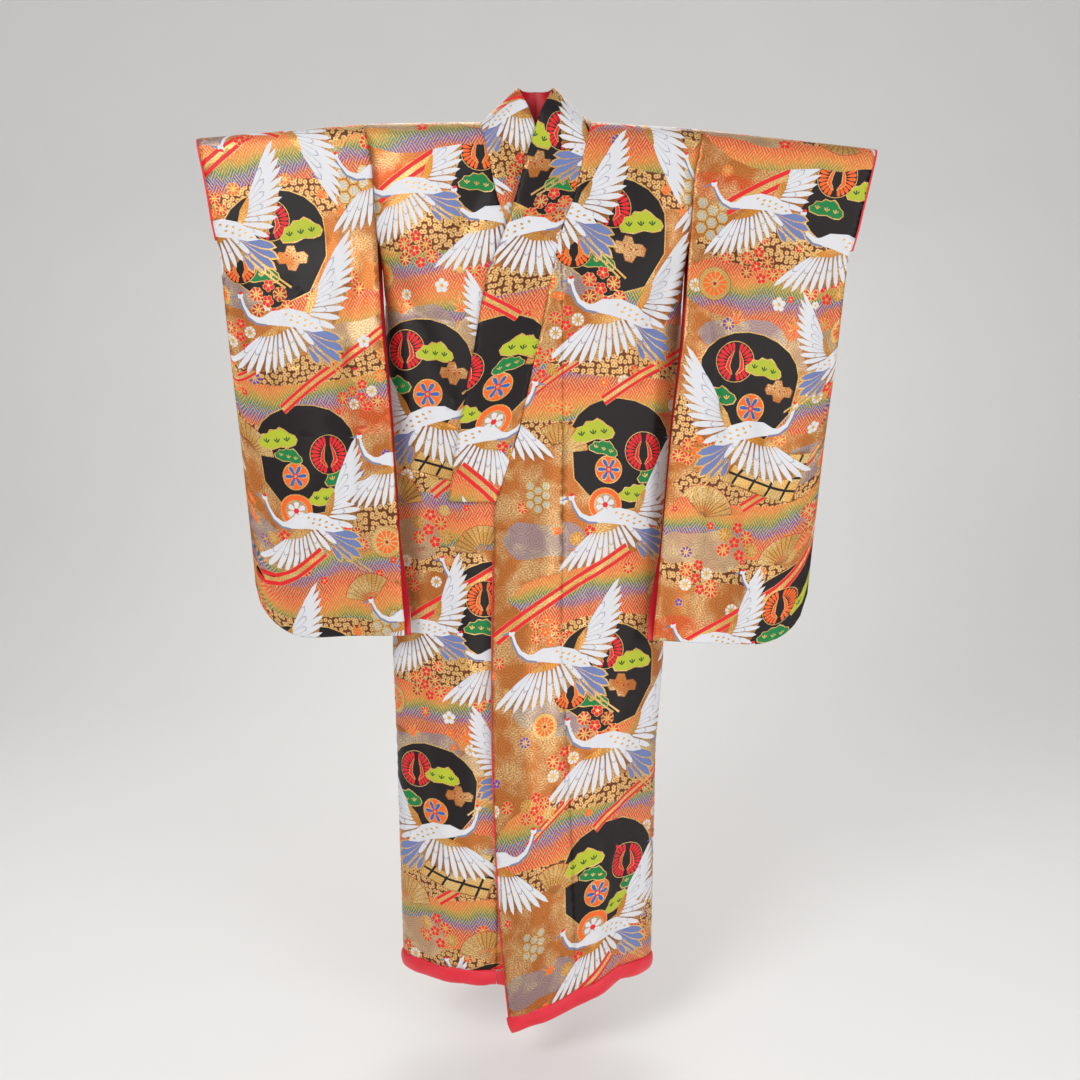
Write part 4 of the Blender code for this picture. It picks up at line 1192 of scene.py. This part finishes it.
# Creases: from and to across and along, half width, depth (under 0 is a trough).
CREASES = {
    "body_front_left": (
        (0.30, 0.30, 0.15, 0.62, 0.020, -0.0035), (0.27, 0.42, 0.24, 1.05, 0.014, 0.0030),
        (0.10, 0.95, 0.13, 1.60, 0.022, -0.0040), (0.22, 1.10, 0.19, 1.78, 0.018, 0.0035),
        (0.06, 0.10, 0.20, 0.32, 0.018, -0.0030), (0.17, 0.55, 0.28, 0.80, 0.015, -0.0025),
    ),
    "body_front_right": (
        (0.29, 0.28, 0.20, 0.55, 0.018, -0.0035), (0.24, 0.45, 0.26, 1.20, 0.016, 0.0032),
        (0.12, 0.70, 0.10, 1.30, 0.020, -0.0035), (0.20, 1.15, 0.16, 1.75, 0.020, 0.0040),
        (0.07, 0.12, 0.22, 0.26, 0.016, -0.0026), (0.15, 1.42, 0.25, 1.66, 0.014, -0.0030),
        (-0.02, 0.95, 0.00, 1.75, 0.020, 0.0030), (-0.05, 0.95, 0.12, 0.965, 0.005, -0.0012),
    ),
    "body_back_left": ((0.12, -0.30, 0.09, -1.20, 0.020, -0.0040), (0.24, -0.55, 0.22, -1.70, 0.022, 0.0035),
                       (0.28, -0.30, 0.12, -0.60, 0.016, -0.0030)),
    "body_back_right": ((0.10, -0.40, 0.12, -1.40, 0.022, -0.0035), (0.22, -0.45, 0.25, -1.60, 0.018, 0.0036),
                        (0.27, -0.28, 0.15, -0.52, 0.018, -0.0032)),
    "sleeve_front_left": ((0.36, 0.28, 0.60, 0.95, 0.020, -0.0040), (0.42, 0.20, 0.40, 0.88, 0.016, 0.0034),
                          (0.52, 0.30, 0.64, 0.60, 0.016, -0.0028), (0.46, 0.86, 0.62, 0.90, 0.014, -0.0030)),
    "sleeve_front_right": ((0.36, 0.30, 0.52, 0.80, 0.018, -0.0036), (0.44, 0.24, 0.40, 0.98, 0.018, 0.0036),
                           (0.50, 0.50, 0.64, 0.86, 0.016, -0.0030), (0.44, 0.70, 0.60, 0.74, 0.012, 0.0026),
                           (0.42, 0.84, 0.62, 0.97, 0.013, -0.0032)),
    "sleeve_back_left": (
        (0.36, -0.30, 0.56, -0.90, 0.020, -0.0036), (0.50, -0.20, 0.46, -0.80, 0.016, 0.0030),
    ),
    "sleeve_back_right": (
        (0.38, -0.26, 0.58, -0.84, 0.020, -0.0036), (0.46, -0.30, 0.42, -0.96, 0.016, 0.0030),
    ),
}
BODY_MARGIN = 0.0004


def side_edge(plane, length):
    return float(np.interp(length, plane.lengths, plane.ends)) - BODY_MARGIN


def body_outline(side, front, back):
    """Round the panel in the cloth's plane: down the front side, up the inner seams, down the centre back."""
    rows = np.array([*np.linspace(0, HEM_ROW, 60)])
    edge = [(side_edge(back, -q), -q) for q in rows[::-1]] + [(side_edge(front, q), q) for q in rows[1:]]
    seam = []
    for q in rows[::-1]:
        if q > ARMHOLE:
            x = float(column_of(OKUMI, "row", q, "seam"))
        else:
            x = float(column_of(COLLAR_SEAM, "row", q, "x"))
        if q > 0:
            seam.append((front.across_of(side * x, q), q))
    neck = []
    for angle in np.linspace(math.pi / 2, 0, 10):
        x, row = neck_seam(side, angle)
        neck.append((back.across_of(x, -row) if row > 1e-4 else abs(x), -row))
    below_neck = np.linspace(NECK_BACK_ROW, HEM_ROW, 40)[1:]
    middle = [(back.across_of(float(centre_back(q)), -q), -q) for q in below_neck]
    return edge + seam + neck + middle


def body_place(front, back):
    def place(flat):
        fore = flat[:, 1] >= 0
        points, normals = np.empty((len(flat), 3)), np.empty((len(flat), 3))
        for chosen, plane in ((fore, front), (~fore, back)):
            points[chosen], normals[chosen] = plane.at(flat[chosen, 0], flat[chosen, 1])
        return points, normals
    return place


def okumi_outline(side, front):
    rows = np.array([ARMHOLE, *np.linspace(0.26, HEM_ROW, 60)])
    seam = [(front.across_of(side * float(column_of(OKUMI, "row", q, "seam")), q), q) for q in rows]
    free = []
    for q in rows[::-1]:
        if q <= COLLAR_END:
            x = float(column_of(COLLAR_SEAM, "row", q, "x"))
        else:
            x = float(column_of(OKUMI, "row", q, "edge"))
        free.append((front.across_of(side * x, q), q))
    return seam + free


def declare(obj, mats):
    for material in mats:
        obj.data.materials.append(material)
    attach(obj, "root")


def lay(kind, side, outline, shapes, place, net):
    """Lays one panel's brocade on its outer face and its lining on its inner face."""
    piece = kind + "_" + SIDE[side]
    outer = cloth_piece("brocade_" + piece, outline, shapes, "ground", place, WALL / 2, net, side)
    declare(outer, materials()["brocade"])
    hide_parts(piece)
    inner = cloth_piece("lining_" + piece, outline, [], "red", place, LINING_LEVEL, LINING_NET, side)
    inner.data.color_attributes.remove(inner.data.color_attributes["dye"])
    declare(inner, [materials()["red"]])


# The padded hem roll --------------------------------------------------------------------------


def roll_tree():
    """Sweeps a plump section along the hem, gathered at its seam, and gives it its silk."""
    tree = bpy.data.node_groups.new("padded_hem_roll", "GeometryNodeTree")
    face = tree.interface
    face.new_socket("Geometry", in_out="INPUT", socket_type="NodeSocketGeometry")
    for name, value in (("Height", HEM_ROLL), ("Plumpness", HEM_PLUMP), ("Gather Spacing", 0.011),
                        ("Gather Depth", 0.0018)):
        socket = face.new_socket(name, in_out="INPUT", socket_type="NodeSocketFloat")
        socket.default_value = value
    face.new_socket("Silk", in_out="INPUT", socket_type="NodeSocketMaterial")
    face.new_socket("Geometry", in_out="OUTPUT", socket_type="NodeSocketGeometry")
    given = add(tree, "NodeGroupInput").node.outputs
    ring = add(tree, "GeometryNodeCurvePrimitiveCircle", {"Resolution": 20, "Radius": 1.0}, mode="RADIUS")
    half = add(tree, "ShaderNodeMath", {0: given["Height"], 1: 0.5}, operation="MULTIPLY")
    scale = add(tree, "ShaderNodeCombineXYZ", {0: given["Plumpness"], 1: half, 2: 1.0})
    section = add(tree, "GeometryNodeTransform", {0: ring, "Scale": scale})
    level = add(tree, "GeometryNodeSetCurveNormal", {0: given["Geometry"]}, mode="Z_UP")
    swept = add(tree, "GeometryNodeCurveToMesh", {0: level, 1: section, "Fill Caps": True})
    place = add(tree, "GeometryNodeInputPosition")
    along = add(tree, "ShaderNodeSeparateXYZ", {0: place})
    spacing = add(tree, "ShaderNodeMath", {0: along, 1: given["Gather Spacing"]}, operation="DIVIDE")
    wave = add(tree, "ShaderNodeMath", {0: spacing}, operation="SINE")
    uneven = add(tree, "ShaderNodeTexNoise", {"Vector": place, "Scale": 34.0})
    both = add(tree, "ShaderNodeMath", {0: wave, 1: uneven}, operation="MULTIPLY")
    depth = add(tree, "ShaderNodeMath", {0: both, 1: given["Gather Depth"]}, operation="MULTIPLY")
    normal = add(tree, "GeometryNodeInputNormal")
    push = add(tree, "ShaderNodeVectorMath", {0: normal, "Scale": depth}, operation="SCALE")
    moved = add(tree, "GeometryNodeSetPosition", {0: swept, "Offset": push})
    rounded = add(tree, "GeometryNodeSetShadeSmooth", {0: moved})
    real = add(tree, "GeometryNodeRealizeInstances", {0: rounded})
    silk = add(tree, "GeometryNodeSetMaterial", {0: real, "Material": given["Silk"]})
    add(tree, "NodeGroupOutput", {0: silk})
    return tree


def hem_spine(side, leaf, start, end, count=70):
    share = np.linspace(0, 1, count)
    x = start + (end - start) * share
    spine = body_point(side, x, np.full(count, HEM_ROW), leaf)
    height = np.full(count, 1.0)
    if side > 0 and leaf < 0:
        height = 1 - TIP_TAPER * smooth(0.06, -0.06, spine[:, 0])
    spine[:, 2] -= HEM_CLEAR + HEM_ROLL * height / 2
    return spine, height


def hem_roll(tree, node, side, leaf, start, end, silk):
    spine, height = hem_spine(side, leaf, start, end)
    curve = bpy.data.curves.new(node + "_path", "CURVE")
    curve.dimensions = "3D"
    line = curve.splines.new("POLY")
    line.points.add(len(spine) - 1)
    for point, place, radius in zip(line.points, spine, height):
        point.co = (*place, 1)
        point.radius = radius
    path = bpy.data.objects.new(node + "_path", curve)
    bpy.context.scene.collection.objects.link(path)
    sweep = path.modifiers.new("roll", "NODES")
    sweep.node_group = tree
    for item in tree.interface.items_tree:
        if item.item_type == "SOCKET" and item.in_out == "INPUT" and item.name == "Silk":
            sweep[item.identifier] = silk
    graph = bpy.context.evaluated_depsgraph_get()
    mesh = bpy.data.meshes.new_from_object(path.evaluated_get(graph))
    path.modifiers.clear()
    bpy.data.objects.remove(path)
    mesh.name = "padded_" + node
    roll = bpy.data.objects.new("padded_" + node, mesh)
    bpy.context.scene.collection.objects.link(roll)
    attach(roll, "root")
    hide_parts(node)
    return roll


# Settings -------------------------------------------------------------------------------------


class KimonoCloth(bpy.types.PropertyGroup):
    """How the brocade is laid."""

    net: bpy.props.FloatProperty(
        name="Net", description="Spacing of the free points of the cloth's net", default=0.0115, min=0.006,
        max=0.05, subtype="DISTANCE", unit="LENGTH")
    seed: bpy.props.IntProperty(
        name="Seed", description="Seed of the scattered small blossoms", default=11, min=0,
        subtype="UNSIGNED")


class KimonoStage(bpy.types.PropertyGroup):
    """Floor, light and camera."""

    lens: bpy.props.FloatProperty(
        name="Lens", description="Focal length on a 36 mm film", default=31.2, min=10, max=200,
        unit="CAMERA")
    tilt: bpy.props.FloatProperty(
        name="Tilt", description="How far the camera looks down", default=math.radians(8.5), subtype="ANGLE")
    camera_place: bpy.props.FloatVectorProperty(
        name="Camera", description="Where the camera stands", default=(0.0085, -2.0, -0.553),
        subtype="TRANSLATION", unit="LENGTH")
    floor_drop: bpy.props.FloatProperty(
        name="Floor drop", description="Clear space under the lowest point of the hem", default=0.10,
        subtype="DISTANCE", unit="LENGTH")
    backdrop: bpy.props.FloatVectorProperty(
        name="Backdrop", description="Colour of the backdrop", default=linear("#F4F3F1")[:3], subtype="COLOR",
        min=0, max=1)


# Operators ------------------------------------------------------------------------------------


class KIMONO_OT_body(bpy.types.Operator):
    """Lays the brocade and lining of both body panels and both overlap panels"""

    bl_idname = "kimono.body"
    bl_label = "Body and overlap panels"

    def execute(self, context):
        cloth = context.scene.kimono_cloth
        for side, design, banks in ((-1, DESIGN_B, BANKS_B), (1, DESIGN_A, BANKS_A)):
            hand = SIDE[side]
            front = body_plane(side, -1, CREASES["body_front_" + hand])
            back = body_plane(side, 1, CREASES["body_back_" + hand])
            low = (-0.13, 0.36) if side > 0 else (-0.36, 0.13)
            woven = weave(design, banks, 0.0, HEM_ROW + 0.1, low, cloth.seed + side)
            shapes = [([(side * x, q) for x, q in points], yarn) for points, yarn in woven.shapes]
            place = body_place(front, back)
            lay("body_panel", side, body_outline(side, front, back), shapes, place, cloth.net)
            lay("okumi", side, okumi_outline(side, front), shapes, front.at_flat, cloth.net)
        return {"FINISHED"}


class KIMONO_OT_sleeves(bpy.types.Operator):
    """Lays the brocade and lining of both sleeves"""

    bl_idname = "kimono.sleeves"
    bl_label = "Sleeves"

    def execute(self, context):
        cloth = context.scene.kimono_cloth
        for side, design, banks, shift, low in ((-1, DESIGN_A, BANKS_A, -0.71, (0.02, 0.38)),
                                                (1, DESIGN_B, BANKS_B, 0.727, (-0.40, -0.03))):
            hand = SIDE[side]
            front = sleeve_plane(side, -1, CREASES["sleeve_front_" + hand])
            back = sleeve_plane(side, 1, CREASES["sleeve_back_" + hand])
            woven = weave(design, banks, shift, SLEEVE_LENGTH + 0.05, low, cloth.seed + 3 * side)
            shapes = [([(side * x, q) for x, q in points], yarn) for points, yarn in woven.shapes]
            rows = np.linspace(-SLEEVE_LENGTH, SLEEVE_LENGTH, 60)
            outline = [(0.34, q) for q in rows] + [(0.68, q) for q in rows[::-1]]
            lay("sleeve", side, outline, shapes, body_place(front, back), cloth.net)
        return {"FINISHED"}


class KIMONO_OT_collar(bpy.types.Operator):
    """Lays the brocade and lining of the two collar halves"""

    bl_idname = "kimono.collar"
    bl_label = "Collar"

    def execute(self, context):
        cloth = context.scene.kimono_cloth
        for side, design, banks, shift in ((-1, DESIGN_B, BANKS_B, 0.17), (1, DESIGN_A, BANKS_A, -0.09)):
            plane = collar_plane(side)
            length = float(plane.lengths[-1])
            woven = weave(design, banks, shift, length + 0.2, (-0.2, 0.3), cloth.seed + 5 * side)
            shapes = [([(side * x, q) for x, q in points], yarn) for points, yarn in woven.shapes]
            rows = np.linspace(0, length, 50)
            outline = [(0.0, q) for q in rows] + [(COLLAR_WIDTH, q) for q in rows[::-1]]
            lay("collar", side, outline, shapes, plane.at_flat, cloth.net)
        return {"FINISHED"}


class KIMONO_OT_hem(bpy.types.Operator):
    """Makes the six stretches of the padded hem roll, and gives the edge pipings their silk"""

    bl_idname = "kimono.hem"
    bl_label = "Hem roll and pipings"

    def execute(self, context):
        silk = materials()["red"]
        tree = roll_tree()
        for side in (-1, 1):
            hand = SIDE[side]
            seam = side * float(column_of(OKUMI, "row", HEM_ROW, "seam"))
            edge = side * float(column_of(OKUMI, "row", HEM_ROW, "edge"))
            outer = float(body_side(side, fold(HEM_ROW)[0]))
            middle = float(centre_back(HEM_ROW))
            hem_roll(tree, "hem_roll_back_" + hand, side, 1, outer, middle + side * HALF_GAP, silk)
            hem_roll(tree, "hem_roll_front_" + hand, side, -1, outer, seam + side * HALF_GAP, silk)
            hem_roll(tree, "hem_roll_okumi_" + hand, side, -1, seam - side * HALF_GAP, edge, silk)
            for name in ("cuff_piping_" + hand, "front_piping_" + hand):
                node = bpy.data.objects[name]
                for slot in node.material_slots:
                    slot.material = silk
        return {"FINISHED"}


# Name, place, size and power of each lamp.
LAMPS = (("key", (-2.0, -2.6, 1.3), 1.6, 66), ("fill", (2.4, -2.6, 0.0), 2.0, 34),
         ("low", (0.7, -2.4, -1.5), 1.2, 14), ("back", (0.0, 2.6, 1.6), 2.4, 44))


class KIMONO_OT_stage(bpy.types.Operator):
    """Sets up the pale floor and backdrop, the soft lights and the camera"""

    bl_idname = "kimono.stage"
    bl_label = "Stage"

    def execute(self, context):
        stage = context.scene.kimono_stage
        floor = CAD_BOX[0][2] - stage.floor_drop
        profile = [(-6.0, floor)] + [(2.2 + 1.4 * math.sin(a), floor + 1.4 - 1.4 * math.cos(a))
                                     for a in np.linspace(0, math.pi / 2, 13)] + [(3.6, floor + 6.0)]
        points = [(x, y, z) for y, z in profile for x in (-6.0, 6.0)]
        tris = []
        for k in range(len(profile) - 1):
            a = 2 * k
            tris += [(a, a + 1, a + 3), (a, a + 3, a + 2)]
        sweep = mesh_object("studio_floor", np.array(points), np.array(tris))
        sweep.data.materials.append(backdrop_paint(stage.backdrop))
        world = bpy.data.worlds.new("studio")
        context.scene.world = world
        world.use_nodes = True
        world.node_tree.nodes["Background"].inputs[0].default_value = linear("#FFFFFF")
        world.node_tree.nodes["Background"].inputs[1].default_value = 0.42
        for name, place, size, power in LAMPS:
            lamp = bpy.data.lights.new(name, "AREA")
            lamp.shape, lamp.size, lamp.energy = "SQUARE", size, power
            holder = bpy.data.objects.new(name, lamp)
            holder.location = place
            aim = Vector((0, 0, -0.9)) - Vector(place)
            holder.rotation_euler = aim.to_track_quat("-Z", "Y").to_euler()
            context.scene.collection.objects.link(holder)
        camera = bpy.data.cameras.new("camera")
        camera.lens = stage.lens
        camera.sensor_width = 36
        camera.dof.use_dof = False
        holder = bpy.data.objects.new("camera", camera)
        holder.location = stage.camera_place
        holder.rotation_euler = (math.pi / 2 - stage.tilt, 0, 0)
        context.scene.collection.objects.link(holder)
        context.scene.camera = holder
        context.scene.view_settings.view_transform = "Standard"
        return {"FINISHED"}


class KIMONO_PT_panel(bpy.types.Panel):
    """Shows the kimono's settings and a button for each step that builds it"""

    bl_idname = "KIMONO_PT_panel"
    bl_label = "Wedding kimono"
    bl_space_type = "VIEW_3D"
    bl_region_type = "UI"
    bl_category = "Kimono"

    def draw(self, context):
        layout = self.layout
        for group in (context.scene.kimono_cloth, context.scene.kimono_stage):
            for name in group.bl_rna.properties.keys():
                if name not in ("rna_type", "name"):
                    layout.prop(group, name)
        for operator in OPERATORS:
            layout.operator(operator.bl_idname)


OPERATORS = (KIMONO_OT_stage, KIMONO_OT_body, KIMONO_OT_sleeves, KIMONO_OT_collar, KIMONO_OT_hem)
CLASSES = (KimonoCloth, KimonoStage, *OPERATORS, KIMONO_PT_panel)


def register():
    for each in CLASSES:
        bpy.utils.register_class(each)
    bpy.types.Scene.kimono_cloth = bpy.props.PointerProperty(type=KimonoCloth)
    bpy.types.Scene.kimono_stage = bpy.props.PointerProperty(type=KimonoStage)


def unregister():
    del bpy.types.Scene.kimono_stage
    del bpy.types.Scene.kimono_cloth
    for each in reversed(CLASSES):
        bpy.utils.unregister_class(each)


def main():
    register()
    bpy.ops.kimono.stage()
    bpy.ops.kimono.body()
    bpy.ops.kimono.sleeves()
    bpy.ops.kimono.collar()
    bpy.ops.kimono.hem()


if __name__ == "__main__":
    main()
